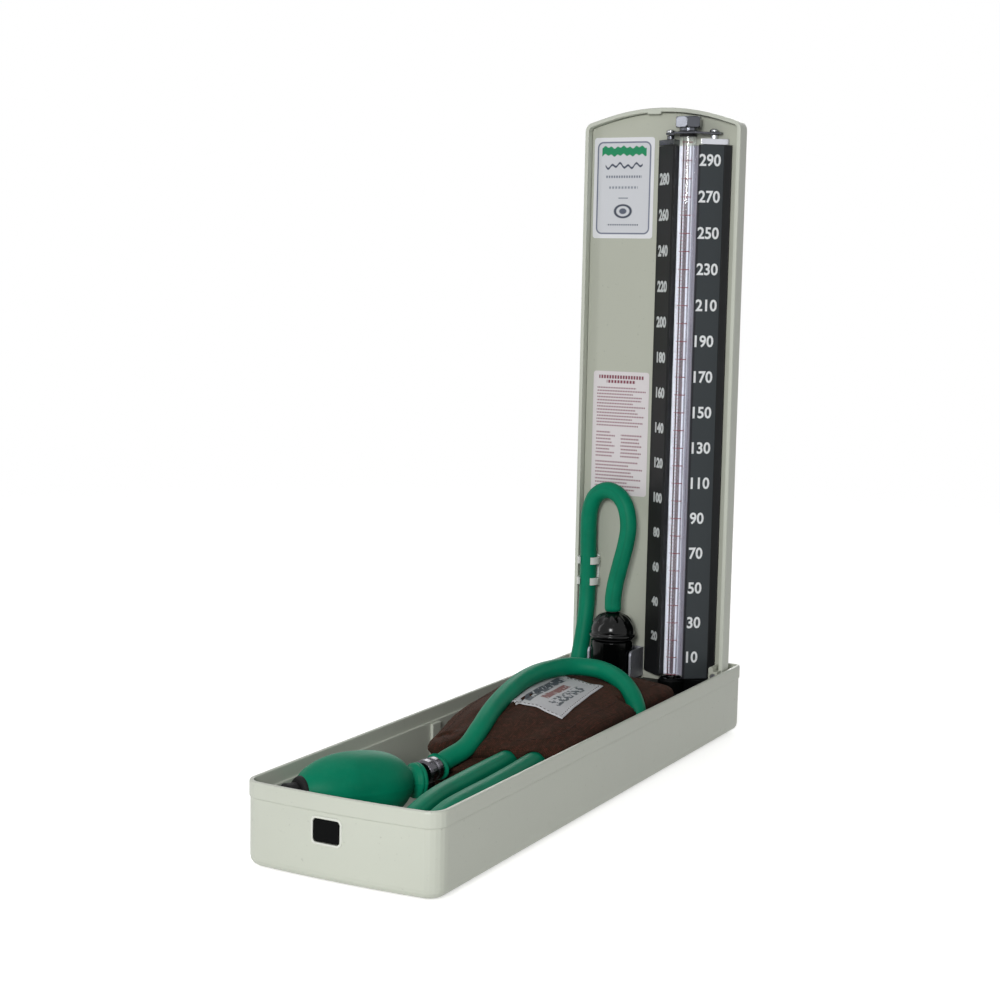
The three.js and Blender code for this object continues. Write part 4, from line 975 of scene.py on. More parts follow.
def keepMesh(name, host):
    graph = bpy.context.evaluated_depsgraph_get()
    mesh = bpy.data.meshes.new_from_object(host.evaluated_get(graph))
    mesh.transform(host.matrix_world)
    body = addObject(name, mesh)
    bpy.data.objects.remove(host)
    return body


def closedLine(name, points):
    data = bpy.data.curves.new(name, "CURVE")
    data.dimensions = "3D"
    spline = data.splines.new("POLY")
    spline.points.add(len(points) - 1)
    for spot, point in zip(spline.points, points):
        spot.co = tuple(point) + (1,)
    spline.use_cyclic_u = True
    return addObject(name, data)


def plainThread(name, base):
    material, shader, place = startFinish(name, {"Roughness": 0.8, "Specular IOR Level": 0.2})
    twist = place.noise(2200, 2, 0.6)
    plug(shader.inputs["Base Color"], twist.blend(shade(base, 0.75), shade(base, 1.15)))
    setBump(shader, twist, 0.00005)
    return material


def stitchLine(name, points, material, length, gap, width):
    # A closed row of stitches along the points, each a short round-ended thread.
    def build(wires):
        line = wires["Geometry"]
        paced = {"Curve": line, "Length": wires["Pace"]}
        even = line.node("GeometryNodeResampleCurve", paced, {"mode": "LENGTH"})
        ball = line.node("GeometryNodeMeshUVSphere", {"Segments": 8, "Rings": 6, "Radius": 0.5})
        size = line.node("ShaderNodeCombineXYZ", {0: wires["Width"], 1: wires["Width"], 2: wires["Length"]})
        shaped = ball.node("GeometryNodeTransform", {"Geometry": ball, "Scale": size})
        tangent = line.node("GeometryNodeInputTangent")
        turn = tangent.node("FunctionNodeAlignRotationToVector", {"Vector": tangent}, {"axis": "Z"})
        placed = {"Points": even, "Instance": shaped, "Rotation": turn}
        return even.node("GeometryNodeInstanceOnPoints", placed)

    values = {"Pace": (length + gap) * mm, "Length": length * mm, "Width": width * mm}
    return runTree(name, closedLine(name + "Line", points), values, build, material)


cuffThread = plainThread("cuffThread", cuff["stitch"])


def cuffSeam():
    middle = np.array(cuff["middle"])
    drawnIn = 1 - cuff["seamInset"] / np.array(cuff["reach"])
    path = [ontoCuff(*(middle + (p - middle) * drawnIn), 0.12) for p in spreadOutline(cuffPlans[2])[::3]]
    return stitchLine("cuffStitches", path, cuffThread, length=2.6, gap=1.1, width=0.55)


cuffStitches = declare(cuffSeam(), "base", "cuff_cloth")

# Woven label on the cuff, as a sheet that follows the cloth.
label = {
    "corners": ((-14.6, -121.6), (21.2, -129), (27.7, -191), (-5.5, -184.4)),
    "thick": 0.3,
    "ground": colour(196, 197, 200),
    "cells": (26, 44),
    "stitches": 80,
    "lift": 0.45,
    "rim": 14,  # one part in so many of the width and the length curls up at each side
    "curl": 0.5,  # how strongly it does, which noise varies
    "seamLift": 0.62,
    "seamMargin": (0.05, 0.03),  # shares of the width and the length
    "rows": (  # place across, half width, middle, half length, how broken, ink
        (0.29, 0.085, 0.5, 0.4, 0.41, colour(44, 54, 64)),
        (0.51, 0.075, 0.5, 0.25, 0.39, colour(108, 48, 44)),
        (0.74, 0.1, 0.52, 0.3, 0.5, colour(44, 54, 64)),
    ),
}


def wovenLabel():
    # Three rows of a broken woven pattern inside a paler hem.
    material, shader, place = startFinish("labelWeave", {"Roughness": 0.55, "Specular IOR Level": 0.3})
    chart = place.node("ShaderNodeUVMap")
    across, along, _ = chart.split()
    hem = (across - 0.5).calc("ABSOLUTE").above(0.44) + (along - 0.5).calc("ABSOLUTE").above(0.465)
    base = place.noise(300, 3, 0.6).blend(shade(label["ground"], 0.84), label["ground"])
    base = hem.calc("MINIMUM", 1.0).blend(base, shade(label["ground"], 1.1))
    blots = chart.stretched((1.6, 2.6, 1)).noise(7.5, 2, 0.5)
    bend = (along - 0.5) * 0.1 + across
    for at, half, middle, reach, cutAt, ink in label["rows"]:
        row = near(bend, at, half, 0.012) * near(along, middle, reach, 0.01)
        base = (row * (blots + at * 0.001).above(cutAt, 0.03) * 0.95).blend(base, ink)
    grain = (across * 420.0).calc("SINE") * (along * 760.0).calc("SINE")
    plug(shader.inputs["Base Color"], base)
    setBump(shader, grain * 0.5 + place.noise(1800, 2, 0.6) * 0.5, 0.00005)
    return material


def cornerSpot(u, v):
    a, b, c, d = (np.array(p, float) for p in label["corners"])
    return (a * (1 - u) + b * u) * (1 - v) + (d * (1 - u) + c * u) * v


def makeLabel():
    wide, long = label["cells"]
    upper = []
    for j in range(long + 1):
        for i in range(wide + 1):
            u, v = i / wide, j / long
            x, y = cornerSpot(u, v)
            rim = max(0.0, 1 - min(u, 1 - u, v, 1 - v) * label["rim"])
            curl = label["curl"] * rim * (0.6 + 0.6 * noise.noise(Vector((x, y, 0)) * 0.09))
            upper.append(ontoCuff(x, y, label["lift"] + curl))
    count = len(upper)
    lower = [p - Vector((0, 0, label["thick"] * mm)) for p in upper]
    faces = []
    for j in range(long):
        for i in range(wide):
            a = j * (wide + 1) + i
            quad = (a, a + wide + 1, a + wide + 2, a + 1)
            faces.append(quad)
            faces.append(tuple(v + count for v in reversed(quad)))
    border = list(range(wide + 1))
    border += [j * (wide + 1) + wide for j in range(1, long + 1)]
    border += [long * (wide + 1) + i for i in range(wide - 1, -1, -1)]
    border += [j * (wide + 1) for j in range(long - 1, 0, -1)]
    for a, b in zip(border, border[1:] + border[:1]):
        faces.append((a, b, b + count, a + count))

    def chart(face, v):
        row, column = divmod(v % count, wide + 1)
        return column / wide, row / long

    body = addMesh("cuffLabel", upper + lower, faces, wovenLabel())
    setUv(body, "label", chart)
    return body


cuffLabel = declare(makeLabel(), "base", "cuff_cloth")


def labelSeam():
    path = []
    left, low = label["seamMargin"]
    for k in range(label["stitches"]):
        side = k / label["stitches"] * 4
        t = side % 1
        u, v = ((t, 0), (1, t), (1 - t, 1), (0, 1 - t))[int(side)]
        spot = cornerSpot(left + (1 - 2 * left) * u, low + (1 - 2 * low) * v)
        path.append(ontoCuff(*spot, label["seamLift"]))
    return stitchLine("labelStitches", path, cuffThread, length=1.6, gap=0.9, width=0.35)


labelStitches = declare(labelSeam(), "base", "cuff_cloth")
print("label and stitches made")

# Declared cords
cords = (
    (bulbHose, bulbPath, bulbLength),
    (reservoirHose, reservoirPath, reservoirLength),
    (trayHose, trayPath, trayLength),
)
for piece, path, length in cords:
    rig.slot(piece, "hose_rubber")
    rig.cord(piece, exit=path[0], length=length, diameter=hose["diameter"] * mm, far_end="object",
            stiffness="medium", lay="loose", path=path)
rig.replaces(bulbHose, "bulb_hose")
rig.replaces(reservoirHose, "reservoir_hose")
for piece in (bulbHose, trayHose):
    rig.ride(piece, "base")

# Printed scale: numerals on both slopes and graduations on the glass.
scale = {
    "zero": 34.5,
    "pitch": 0.983,
    "top": 300,
    "ridgeY": -2.75,
    "capitals": 0.7,  # height of a numeral as a share of the type's size
}


def printInk(name, base):
    material, shader, place = startFinish(name, {"IOR": 1.45})
    wear = place.noise(900, 3, 0.7)
    tint = wear.above(0.68, 0.05).blend(base, shade(base, 0.7))
    return filled(material, shader, tint, wear * 0.2 + 0.4, wear, 0.000006)


whiteInk = printInk("scaleInk", colour(232, 234, 236))
# A darker copy of the white ink: painted shade on the left slope's numerals.
shadedInk = printInk("shadedScaleInk", colour(198, 202, 202))
redInk = printInk("tickInk", colour(116, 52, 62))
paleRedInk = printInk("fineTickInk", colour(158, 108, 118))


def numeral(text, height, bold):
    data = bpy.data.curves.new("numeral", "FONT")
    data.body = text
    data.align_x = "CENTER"
    data.align_y = "CENTER"
    data.size = height / scale["capitals"] * mm
    data.offset = bold * mm
    data.extrude = 0.03 * mm
    data.resolution_u = 3
    return addObject("numeral", data)


rightSlope = {
    "values": range(10, 300, 20),
    "ridge": 25.8,
    "run": (10.66, 8.55),  # across and back from the ridge
    "height": (6.15, 6.15),  # each pair is at the scale's foot and at its top
    "spread": (0.93, 0.93),
    "place": (0.9, -0.7),  # of the left end, in millimetres down the slope
    "bold": 0.2,
}
leftSlope = {
    "values": range(20, 300, 20),
    "ridge": 9.4,
    "run": (-12.5, 9.95),
    "height": (4.5, 6.1),
    "spread": (1.06, 0.82),
    "place": (4.4, 8.7),  # of the middle
    "bold": 0.34,
}


def numerals(name, slope, ink):
    run, mirrored = slope["run"], slope["run"][0] < 0
    along = Vector((run[0], run[1], 0)).normalized()
    across = along if not mirrored else -along
    outward = across.cross(Vector((0, 0, 1)))
    turn = Matrix((across, Vector((0, 0, 1)), outward)).transposed().to_4x4()
    points, faces = [], []
    for value in slope["values"]:
        ends = (slope[k] for k in ("height", "spread", "place"))
        height, spread, place = (low + (high - low) * value / scale["top"] for low, high in ends)
        z = scale["zero"] + scale["pitch"] * value - hingeZ
        spot = Vector((slope["ridge"], scale["ridgeY"], z)) + along * place + outward * 0.1
        text = numeral(str(value), height, slope["bold"])
        graph = bpy.context.evaluated_depsgraph_get()
        mesh = bpy.data.meshes.new_from_object(text.evaluated_get(graph))
        bpy.data.objects.remove(text)
        start = 0 if mirrored else min(v.co.x for v in mesh.vertices)
        mesh.transform(Matrix.Diagonal((spread, 1, 1, 1)) @ Matrix.Translation((-start, 0, 0)))
        mesh.transform(Matrix.Translation(onLid(spot)) @ turn)
        first = len(points)
        points += [v.co.copy() for v in mesh.vertices]
        faces += [tuple(v + first for v in p.vertices) for p in mesh.polygons]
    return addMesh(name, points, faces, ink, smooth=False)


declare(numerals("rightNumerals", rightSlope, whiteInk), "lid", "scale_paint")
declare(numerals("leftNumerals", leftSlope, shadedInk), "lid", "scale_paint")

tube = {"x": 17.6, "y": -1.15, "radius": 4.75, "ink": 0.06}


def tickRows(name, ink, count, pace, turn, sweep, thick):
    # Thin arcs round the front of the glass, one for each mark, up from zero.
    first = onLid((tube["x"], tube["y"], scale["zero"] - hingeZ))

    def build(wires):
        start = wires["Geometry"]
        arc = start.node("GeometryNodeCurveArc", {
            "Resolution": 14, "Radius": wires["Radius"],
            "Start Angle": -math.pi / 2 - sweep / 2 + turn, "Sweep Angle": sweep})
        edge = start.node("GeometryNodeCurvePrimitiveQuadrilateral", {
            "Width": wires["Depth"], "Height": wires["Thickness"]})
        mark = arc.node("GeometryNodeCurveToMesh", {"Curve": arc, "Profile Curve": edge, "Fill Caps": True})
        line = start.node("GeometryNodeMeshLine", {
            "Count": count, "Start Location": tuple(first), "Offset": (0, 0, scale["pitch"] * pace * mm)})
        return line.node("GeometryNodeInstanceOnPoints", {"Points": line, "Instance": mark})

    values = {"Radius": (tube["radius"] + tube["ink"]) * mm, "Thickness": thick * mm,
              "Depth": tube["ink"] * mm}
    return runTree(name, addObject(name + "Host", bpy.data.meshes.new(name)), values, build, ink)


# Turn and sweep are in radians; a mark stands for each 2 or 10 of the scale's units.
for name, ink, row in (
    ("fineTicks", paleRedInk, {"count": 151, "pace": 2, "turn": -0.06, "sweep": 0.46, "thick": 0.3}),
    ("broadTicks", redInk, {"count": 31, "pace": 10, "turn": 0.3, "sweep": 1.3, "thick": 0.5}),
):
    declare(tickRows(name, ink, **row), "lid", "scale_paint")
print("scale printed")


# Labels on the panel, bare of words: a ruled pattern inside a rounded border.
stickers = {
    "panelY": 7.5,
    "lift": 0.02,
    "thick": 0.14,
    "corner": 1.6,
    "upper": {"x": (-42.5, -5.8), "z": (277.5, 333.5), "ground": colour(226, 227, 231)},
    "lower": {"x": (-39.5, -5.0), "z": (132.0, 202.5), "ground": colour(218, 213, 215)},
}


def roundedRect(x0, x1, z0, z1, radius):
    corners = ((x1 - radius, z0 + radius, -90), (x1 - radius, z1 - radius, 0),
               (x0 + radius, z1 - radius, 90), (x0 + radius, z0 + radius, 180))
    points = []
    for cx, cz, start in corners:
        for turn in range(0, 105, 15):
            angle = math.radians(start + turn)
            points.append((cx + radius * math.cos(angle), cz + radius * math.sin(angle)))
    return points


def extent(size):
    return size["x"][1] - size["x"][0], size["z"][1] - size["z"][0]


def stickerPaper(name, ground, drawing):
    material, shader, place = startFinish(name, {"Specular IOR Level": 0.3})
    across, up, _ = place.node("ShaderNodeUVMap").split()
    base = place.noise(40, 3, 0.6).blend(shade(ground, 0.95), shade(ground, 1.03))
    for mask, ink in drawing(across, up):
        base = mask.blend(base, ink)
    gloss = place.noise(300, 2, 0.5) * 0.15 + 0.35
    return filled(material, shader, base, gloss, place.noise(900, 2, 0.5), 0.00001)


def ruledLines(across, up, left, right, bottom, top, count, ragged):
    # Thin ruled lines of uneven length.
    cell = (up - bottom) * (count / (top - bottom))
    line = near(cell.calc("FRACT"), 0.5, 0.23, 0.07)
    row = cell.calc("FLOOR")
    end = (row * 2.399).calc("SINE") * ragged + (right - ragged)
    inside = across.above(left) * (end - across).above(0.0)
    return line * inside * up.above(bottom) * (1 - up.above(top))


def dashedLine(across, up, at, half, reach, rate, cut=-0.5, soft=0.003):
    # A printed line in the middle, broken into dashes.
    dashes = (across * rate).calc("SINE").above(cut, 0.3)
    return near(up, at, half, soft) * near(across, 0.5, reach) * dashes


def waves(across, *parts):
    return sum((across * rate).calc("SINE") * size for rate, size in parts)


def roundFrame(across, up, size, halfWide, halfTall, corner):
    # Distance in millimetres outside a rounded rectangle in the label's middle.
    wide, tall = extent(size)
    x = ((across - 0.5) * wide).calc("ABSOLUTE") - (halfWide - corner)
    y = ((up - 0.5) * tall).calc("ABSOLUTE") - (halfTall - corner)
    px, py = x.calc("MAXIMUM", 0.0), y.calc("MAXIMUM", 0.0)
    return (px * px + py * py).calc("SQRT") + x.calc("MAXIMUM", y).calc("MINIMUM", 0.0) - corner


def upperDrawing(across, up):
    edge = roundFrame(across, up, stickers["upper"], 16.1, 25.4, 3.2)
    yield 1 - edge.above(0.0, 0.2), colour(206, 208, 213)
    yield near(edge, -0.1, 0.42, 0.2), colour(112, 118, 136)
    ragged = up + waves(across, (61, 0.008), (23, 0.006))
    yield near(ragged, 0.865, 0.04, 0.006) * near(across, 0.5, 0.37), colour(24, 132, 88)
    curl = up - waves(across, (47, 0.016), (19, 0.012))
    yield near(curl, 0.72, 0.011, 0.006) * near(across, 0.5, 0.31), colour(62, 70, 86)
    yield dashedLine(across, up, 0.612, 0.012, 0.3, 150, soft=0.006), colour(120, 126, 138)
    yield dashedLine(across, up, 0.505, 0.012, 0.24, 120, -0.4, 0.006), colour(140, 146, 156)
    yield near(up, 0.4, 0.006) * near(across, 0.5, 0.08), colour(134, 140, 150)
    wide, tall = extent(stickers["upper"])
    x, y = (across - 0.5) * wide, (up - 0.27) * tall
    ring = (x * x * 0.5 + y * y).calc("SQRT")
    yield near(ring, 3.4, 0.55, 0.3), colour(62, 68, 82)
    yield near(ring, 0.6, 1.0, 0.3), colour(86, 92, 106)
    yield dashedLine(across, up, 0.135, 0.007, 0.26, 170), colour(96, 102, 116)


def lowerDrawing(across, up):
    ink, pale = colour(124, 66, 80), colour(142, 98, 110)
    yield dashedLine(across, up, 0.955, 0.014, 0.4, 130, -0.6), ink
    yield dashedLine(across, up, 0.918, 0.012, 0.26, 115, -0.6), ink
    broken = (across * 210 + up * 90).calc("SINE").above(-0.55, 0.4)
    blocks = (  # left, right, bottom, top, lines, how ragged
        (0.07, 0.95, 0.55, 0.88, 13, 0.12),
        (0.07, 0.42, 0.3, 0.52, 8, 0.05),
        (0.52, 0.9, 0.3, 0.5, 7, 0.04),
        (0.07, 0.93, 0.03, 0.28, 9, 0.14),
    )
    for block in blocks:
        yield ruledLines(across, up, *block) * broken, pale


def makeSticker(name, size, drawing):
    (x0, x1), (z0, z1) = size["x"], size["z"]
    outline = roundedRect(x0, x1, z0, z1, stickers["corner"])
    backY = stickers["panelY"] - stickers["lift"]
    front = [onLid((x, backY - stickers["thick"], z - hingeZ)) for x, z in outline]
    back = [onLid((x, backY, z - hingeZ)) for x, z in outline]
    count = len(outline)
    faces = [tuple(range(count)), tuple(range(2 * count - 1, count - 1, -1))]
    for i in range(count):
        j = (i + 1) % count
        faces.append((i, i + count, j + count, j))
    paper = stickerPaper(name + "Paper", size["ground"], drawing)
    body = addMesh(name, front + back, faces, paper, smooth=False)
    spots = [((x - x0) / (x1 - x0), (z - z0) / (z1 - z0)) for x, z in outline]
    setUv(body, "print", lambda face, v: spots[v % count])
    return body


declare(makeSticker("upperLabel", stickers["upper"], upperDrawing), "lid", "white_plastic")
declare(makeSticker("lowerLabel", stickers["lower"], lowerDrawing), "lid", "white_plastic")
print("labels made")


# The strip behind the tube: places across the lid, and half widths, in millimetres.
backing = {
    "shadeFrom": 18.0,
    "boreLine": (15.3, 1.5),
    "gleam": (19.8, 0.5),
    "edgeFrom": 21.8,
}


def stripedBacking():
    # White, with a painted dark line where the bore shows through the glass, a painted gleam, a grey painted shadow
    # side, and darker still at its right edge.
    material, shader, place = startFinish("tubeBacking", {"IOR": 1.45})
    across = place.split()[0] / mm
    white, mauve = colour(218, 218, 228), colour(128, 124, 136)
    base = across.above(backing["shadeFrom"], 0.25).blend(white, mauve)
    base = near(across, *backing["boreLine"], 0.5).blend(base, colour(92, 76, 84))
    base = near(across, *backing["gleam"], 0.35).blend(base, colour(162, 158, 170))
    base = across.above(backing["edgeFrom"], 0.5).blend(base, colour(64, 66, 74))
    grain = place.stretched((1, 1, 0.4)).noise(700, 3, 0.6)
    base = (grain.above(0.62, 0.08) * 0.25).blend(base, colour(140, 110, 118))
    return filled(material, shader, base, grain * 0.2 + 0.3, grain, 0.000008)


# Scale paint: grey print on the right slope, black on the left, in the channel and along the foot.
paint = {
    "channelHalf": 8.15,
    "footY": 5.5,
    "enamelY": 0.4,
    "leftRidge": 12.2,
    "rightRidge": 25.2,
    "ridgeHalf": 0.7,
}


def scalePaint():
    material, shader, place = startFinish("scalePaint", {"IOR": 1.45, "Specular IOR Level": 0.2})
    x, y, _ = place.split()
    edge = 0.1 * mm
    grey, black = colour(60, 65, 68), colour(16, 17, 18)
    outsideChannel = 1 - near(x, tube["x"] * mm, paint["channelHalf"] * mm, edge)
    aboveFoot = 1 - y.above(onLid((0, paint["footY"], 0)).y, edge)
    rightSide = x.above(tube["x"] * mm)
    face = outsideChannel * aboveFoot
    base = (face * rightSide).blend(black, grey)
    base = (face * (1 - rightSide)).blend(base, colour(21, 22, 23))
    cloud = place.noise(70, 3, 0.6)
    base = (cloud * 0.2).blend(base, colour(44, 47, 49))
    # Pale enamel on the channel's left ridge, dark on its right.
    inChannel = y.above(onLid((0, paint["enamelY"], 0)).y, edge)
    leftRidge = near(x, paint["leftRidge"] * mm, paint["ridgeHalf"] * mm, edge) * inChannel
    rightRidge = near(x, paint["rightRidge"] * mm, paint["ridgeHalf"] * mm, edge) * aboveFoot
    base = leftRidge.blend(base, colour(216, 218, 226))
    base = rightRidge.blend(base, colour(34, 35, 39))
    height = place.noise(1400, 2, 0.6)
    return filled(material, shader, base, cloud * 0.2 + 0.3, height, 0.000012, 0.0003)


finishes = {
    "case_plastic": moulded["casePlastic"],
    "panel_plastic": moulded["shadedPanelPlastic"],
    "black_gloss": moulded["glossBlack"],
    "black_plastic": moulded["blackPlastic"],
    "scale_paint": scalePaint(),
    "white_plastic": moulded["whitePlastic"],
    "chrome": plated["chromePlate"],
    "steel": plated["plainSteel"],
    "black_rubber": moulded["blackRubber"],
    "clear_glass": clearGlass(),
    "mercury": liquidMetal(),
    "hose_rubber": hoseRubber,
    "cuff_cloth": cuffCloth,
}
# Nodes that differ from the rest of their slot.
ownFinish = {
    "release_valve_body": plated["valveMetal"],
    "reservoir_bracket": plated["zincPlate"],
    "tube_backing": stripedBacking(),
    # The nut, the bridge and the left cap take the darker chrome as painted shade; the right cap takes the paler one as
    # a painted highlight.
    "top_clamp_nut": plated["shadedChrome"],
    "top_bridge": plated["shadedChrome"],
    "scale_cap_left": plated["shadedChrome"],
    "scale_cap_right": plated["litChrome"],
}
for entry in frame["record"]["subparts"]:
    node = nodes[entry["node"]]
    node.data.materials.clear()
    node.data.materials.append(ownFinish.get(entry["node"], finishes[entry["material_slot"]]))
print("finishes given to", len(nodes), "nodes")


# Latch: a rim round the button's window, painted paler than the case as a highlight, and the button's spring with
# closed ends.
latch = {
    "middle": -4.6,
    "width": 13.4,
    "height": 10.2,
    "corner": 1.6,
    "travel": 3.1,
    "flatTurn": 0.12,  # share of the spring's height that each end turn takes
    "rim": ((1.3, -0.15), (1.0, 0.4), (0.5, 0.5), (0.12, 0.3), (0.06, -0.5)),  # out from the window, proud
    "lookFrom": -400.0,
    "lookOut": 1.3,
    "turns": 6,
    "wire": 0.8,
}


def boxOf(node):
    spots = np.array([v.co for v in node.data.vertices])
    return spots.min(axis=0), spots.max(axis=0)


def makeRim():
    button = nodes["latch_button"]
    low, _ = boxOf(button)
    wall = BVHTree.FromObject(nodes["base_tray"], bpy.context.evaluated_depsgraph_get())
    face = [v.co.z for v in button.data.vertices if v.co.y < low[1] + 0.4 * mm]
    x, z = latch["middle"], (min(face) + max(face)) / 2 / mm - footProud
    front = inRow((0, latch["lookFrom"], 0)).y
    rings = []
    for out, proud in latch["rim"]:
        wide, tall = latch["width"] / 2 + out, latch["height"] / 2 + out
        outline = roundedRect(x - wide, x + wide, z - tall, z + tall, latch["corner"] + out)
        ring = []
        for px, pz in outline:
            spot = inRow((px, 0, pz))
            # The wall's bow is read a little further out, past the window's rounded edge.
            far = inRow((x + (px - x) * latch["lookOut"], 0, z + (pz - z) * latch["lookOut"]))
            hit = wall.ray_cast(Vector((far.x, front, far.z)), Vector((0, 1, 0)))[0]
            ring.append(Vector((spot.x, hit.y - proud * mm, spot.z)))
        rings.append(ring)
    points, faces = skin(rings, closeEnds=False)
    count = len(rings[0])
    last = len(points) - count
    faces += [(i + last, (i + 1) % count + last, (i + 1) % count, i) for i in range(count)]
    return addMesh("windowRim", points, faces, moulded["litRimPlastic"])


def makeSpring():
    low, high = boxOf(nodes["latch_spring"])
    wire, turns = latch["wire"] * mm / 2, latch["turns"]
    middle, radius = (low + high) / 2, (high[0] - low[0]) / 2 - wire
    start, end = low[1] + wire, high[1] - wire
    flat, steps = latch["flatTurn"], 24 * turns
    rings = []
    for k in range(steps + 1):
        t = k / steps
        climb = min(max((t - 1 / turns) / (1 - 2 / turns), 0), 1)
        climb = climb * (1 - 2 * flat) + flat * (min(t * turns, 1) + 1 - min((1 - t) * turns, 1))
        angle = 2 * math.pi * turns * t
        out = Vector((math.cos(angle), 0, math.sin(angle)))
        spot = Vector((middle[0], start + (end - start) * climb, middle[2])) + out * radius
        rings.append([spot + (out * math.cos(a) + Vector((0, math.sin(a), 0))) * wire for a in around(10)])
    points, faces = skin(rings)
    body = addMesh("latchSpring", points, faces, plated["plainSteel"])
    declare(body, "base", "steel", "latch_spring")
    rearEnd = Vector((middle[0], high[1], middle[2]))
    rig.squash(body, "latch_slide", axis=(0, 1, 0), anchor=tuple(rearEnd),
              keep=1 - latch["travel"] * mm / (high[1] - low[1]))
    return body


# Reservoir cap: a polished dome with a smooth shoulder and grip lobes round its nipple.
cap = {
    "flange": 13.25,
    # Heights of the flange's rounded edge, and how far it stands out from its widest.
    "edge": ((0, -0.75), (0.15, -0.4), (0.5, -0.1), (1.0, 0), (1.6, 0), (2.0, -0.1), (2.3, -0.45),
             (2.45, -0.8), (2.75, -0.95), (3.2, -0.95)),
    "dome": 12.05,
    "crown": 0.3,
    "sweep": 0.86,  # of a quarter turn
    "height": 16.4,
    "nipple": 1.6,
    "underNipple": 0.2,
    "tip": ((1.6, 3.5), (1.2, 3.3), (0, 3.2)),  # below the top, and radius
    "lobes": 12,
    "lobeDepth": 1.0,
    "lobeFrom": 0.32,  # shares of the dome
    "lobeTo": 0.86,
}


def makeCap():
    low, high = boxOf(nodes["reservoir_cap"])
    middle = (low + high) / 2
    foot = cap["edge"][-1][0]
    dome = cap["height"] - cap["nipple"] - foot - cap["underNipple"]
    levels = [(z, cap["flange"] + out, 0) for z, out in cap["edge"]]
    for t in np.linspace(0, 1, 49)[1:]:
        angle = math.pi / 2 * t * cap["sweep"]
        share = min(max((t - cap["lobeFrom"]) / (cap["lobeTo"] - cap["lobeFrom"]), 0), 1)
        radius = cap["crown"] + cap["dome"] * math.cos(angle)
        levels.append((foot + dome * math.sin(angle), radius, math.sin(math.pi * share)))
    levels += [(cap["height"] - below, radius, 0) for below, radius in cap["tip"]]
    rings = []
    for z, radius, lobe in levels:
        ring = []
        for angle in around(16 * cap["lobes"]):
            r = radius + cap["lobeDepth"] * lobe * (math.cos(cap["lobes"] * angle / 2) ** 2 - 0.4)
            ring.append(Vector((middle[0] + r * mm * math.cos(angle), middle[1] + r * mm * math.sin(angle),
                                low[2] + z * mm)))
        rings.append(ring)
    points, faces = skin(rings)
    return addMesh("reservoirCap", points, faces, moulded["capBlack"])


declare(makeCap(), "cap", "black_gloss", "reservoir_cap")
declare(makeRim(), "base", "case_plastic")
makeSpring()
print("latch rim and spring made")

# Poses: the reservoir hose bends between lid and case, soft pieces flatten under the closed lid.
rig.blend(reservoirHose, "lid", "base", start=tuple(onLid((0, 0, 60))), end=tuple(inRow((0, -60, 8))))
pressed = (  # pieces, the height that stays in place, and the share of their height that is kept
    ((foldedCuff, cuffStitches, cuffLabel, labelStitches, bulbHose, trayHose), 2.8, 0.29),
    ((squeezeBulb, tailCollar), 27.2, 0.5),
)
for pieces, level, keep in pressed:
    for piece in pieces:
        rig.squash(piece, "lid_hinge", axis=(0, 0, 1), anchor=tuple(inRow((0, 0, level))), keep=keep)

# Studio
studio = {
    "worldStrength": 0.2,
    "floor": colour(240, 240, 238),
    "floorReach": 1.6,
    "floorSides": 96,
    "floorFade": (0.85, 0.55),  # its middle and half its width
    "floorGlow": 0.6,  # seen by the camera alone, so that the floor is white outside the shadow
}
# Each lamp's place, target, size and power.
lamps = {
    "keyLight": ((0.36, -1.3, 0.52), (0, -0.02, 0.1), (0.34, 0.34), 11.7),
    "topLight": ((-0.3, 0.1, 1.5), (0, 0, 0.1), (0.9, 0.9), 2.0),
    "backLight": ((-0.45, 1.5, 0.8), (0, 0.1, 0.2), (0.8, 0.8), 6.5),
    "stripLight": ((-0.905, -0.53, 0.42), (0.0, 0.14, 0.2), (0.16, 0.7), 1.7),
}


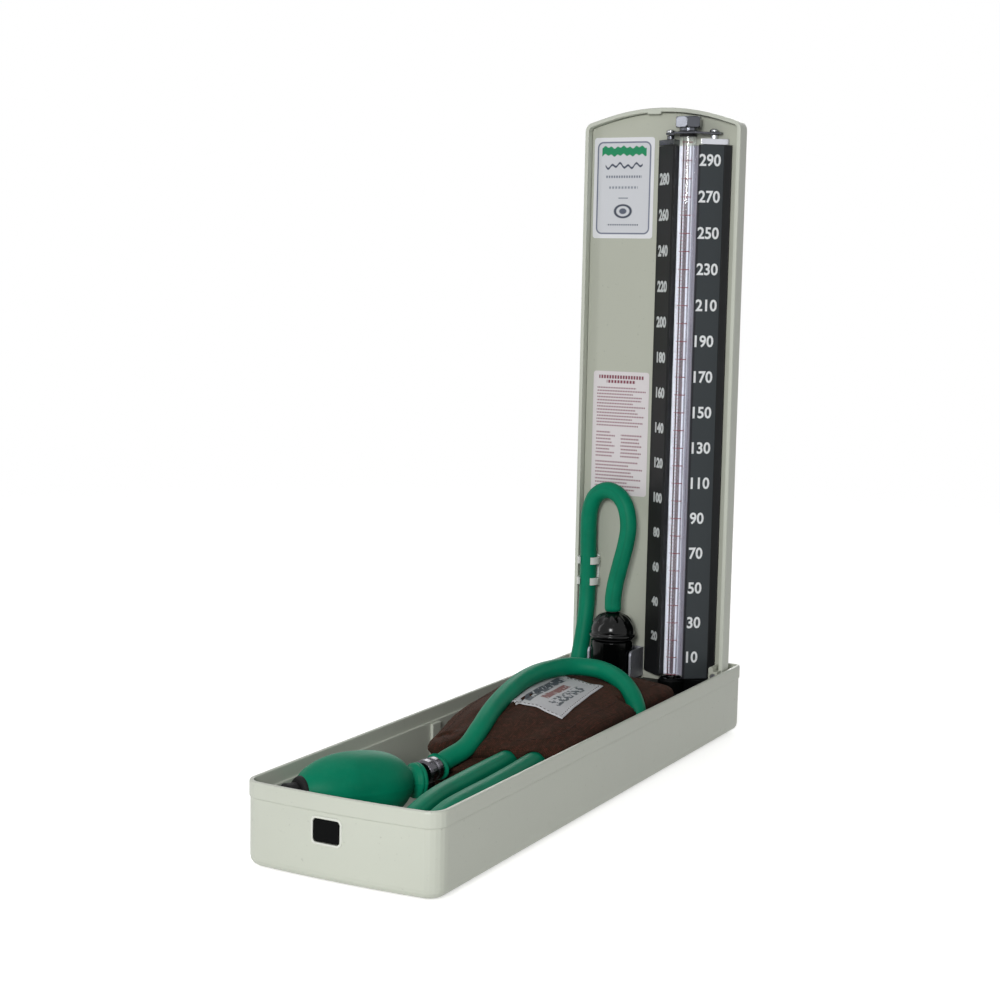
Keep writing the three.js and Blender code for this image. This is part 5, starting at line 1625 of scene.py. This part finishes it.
def areaLight(name, place, target, size, power):
    data = bpy.data.lights.new(name, "AREA")
    data.shape = "RECTANGLE"
    data.size, data.size_y = size
    data.energy = power
    aim = (Vector(target) - Vector(place)).to_track_quat("-Z", "Y")
    addObject(name, data).matrix_world = Matrix.Translation(place) @ aim.to_matrix().to_4x4()


for name, lamp in lamps.items():
    areaLight(name, *lamp)


def whiteRays(place):
    # 1 where the camera sees a thing directly, in a reflection or through glass.
    kinds = ("Is Camera Ray", "Is Glossy Ray", "Is Transmission Ray")
    return sum(place.node("ShaderNodeLightPath", out=kind) for kind in kinds).calc("MINIMUM", 1.0)


def whiteWorld():
    world = bpy.data.worlds.new("studio")
    bpy.context.scene.world = world
    world.use_nodes = True
    tree = world.node_tree
    tree.nodes.clear()
    place = Wire(tree.nodes.new("ShaderNodeTexCoord").outputs["Object"])
    strength = whiteRays(place) * (1 - studio["worldStrength"]) + studio["worldStrength"]
    sky = strength.node("ShaderNodeBackground", {"Color": (1, 1, 1), "Strength": strength})
    plug(tree.nodes.new("ShaderNodeOutputWorld").inputs[0], sky)


whiteWorld()


def makeFloor():
    # A pale round floor that fades into the white behind it.
    reach, sides = studio["floorReach"], studio["floorSides"]
    ring = [(reach * math.cos(a), reach * math.sin(a), 0) for a in around(sides)]
    body = addMesh("floor", ring, [tuple(range(sides))], smooth=False)
    material, shader, place = startFinish("floorPaper", {"Base Color": studio["floor"], "Roughness": 0.9})
    away = place.node("ShaderNodeVectorMath", {0: place}, {"operation": "LENGTH"}, out=1)
    fade = away.above(*studio["floorFade"])
    clear = place.node("ShaderNodeBsdfTransparent")
    shine = whiteRays(place) * studio["floorGlow"]
    glow = place.node("ShaderNodeEmission", {"Color": (1, 1, 1), "Strength": shine})
    lit = place.node("ShaderNodeAddShader", {0: Wire(shader.outputs[0]), 1: glow})
    mixed = place.node("ShaderNodeMixShader", {0: fade, 1: lit, 2: clear})
    plug(material.node_tree.nodes["Material Output"].inputs[0], mixed)
    body.data.materials.append(material)
    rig.stage(body)


makeFloor()
bpy.context.scene.view_settings.view_transform = "Standard"

with open("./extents.json", "w") as sizes:
    json.dump({"cad": [list(p) for p in cadBounds], "visual": [list(p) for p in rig.bounds()]}, sizes)
print("stage set")
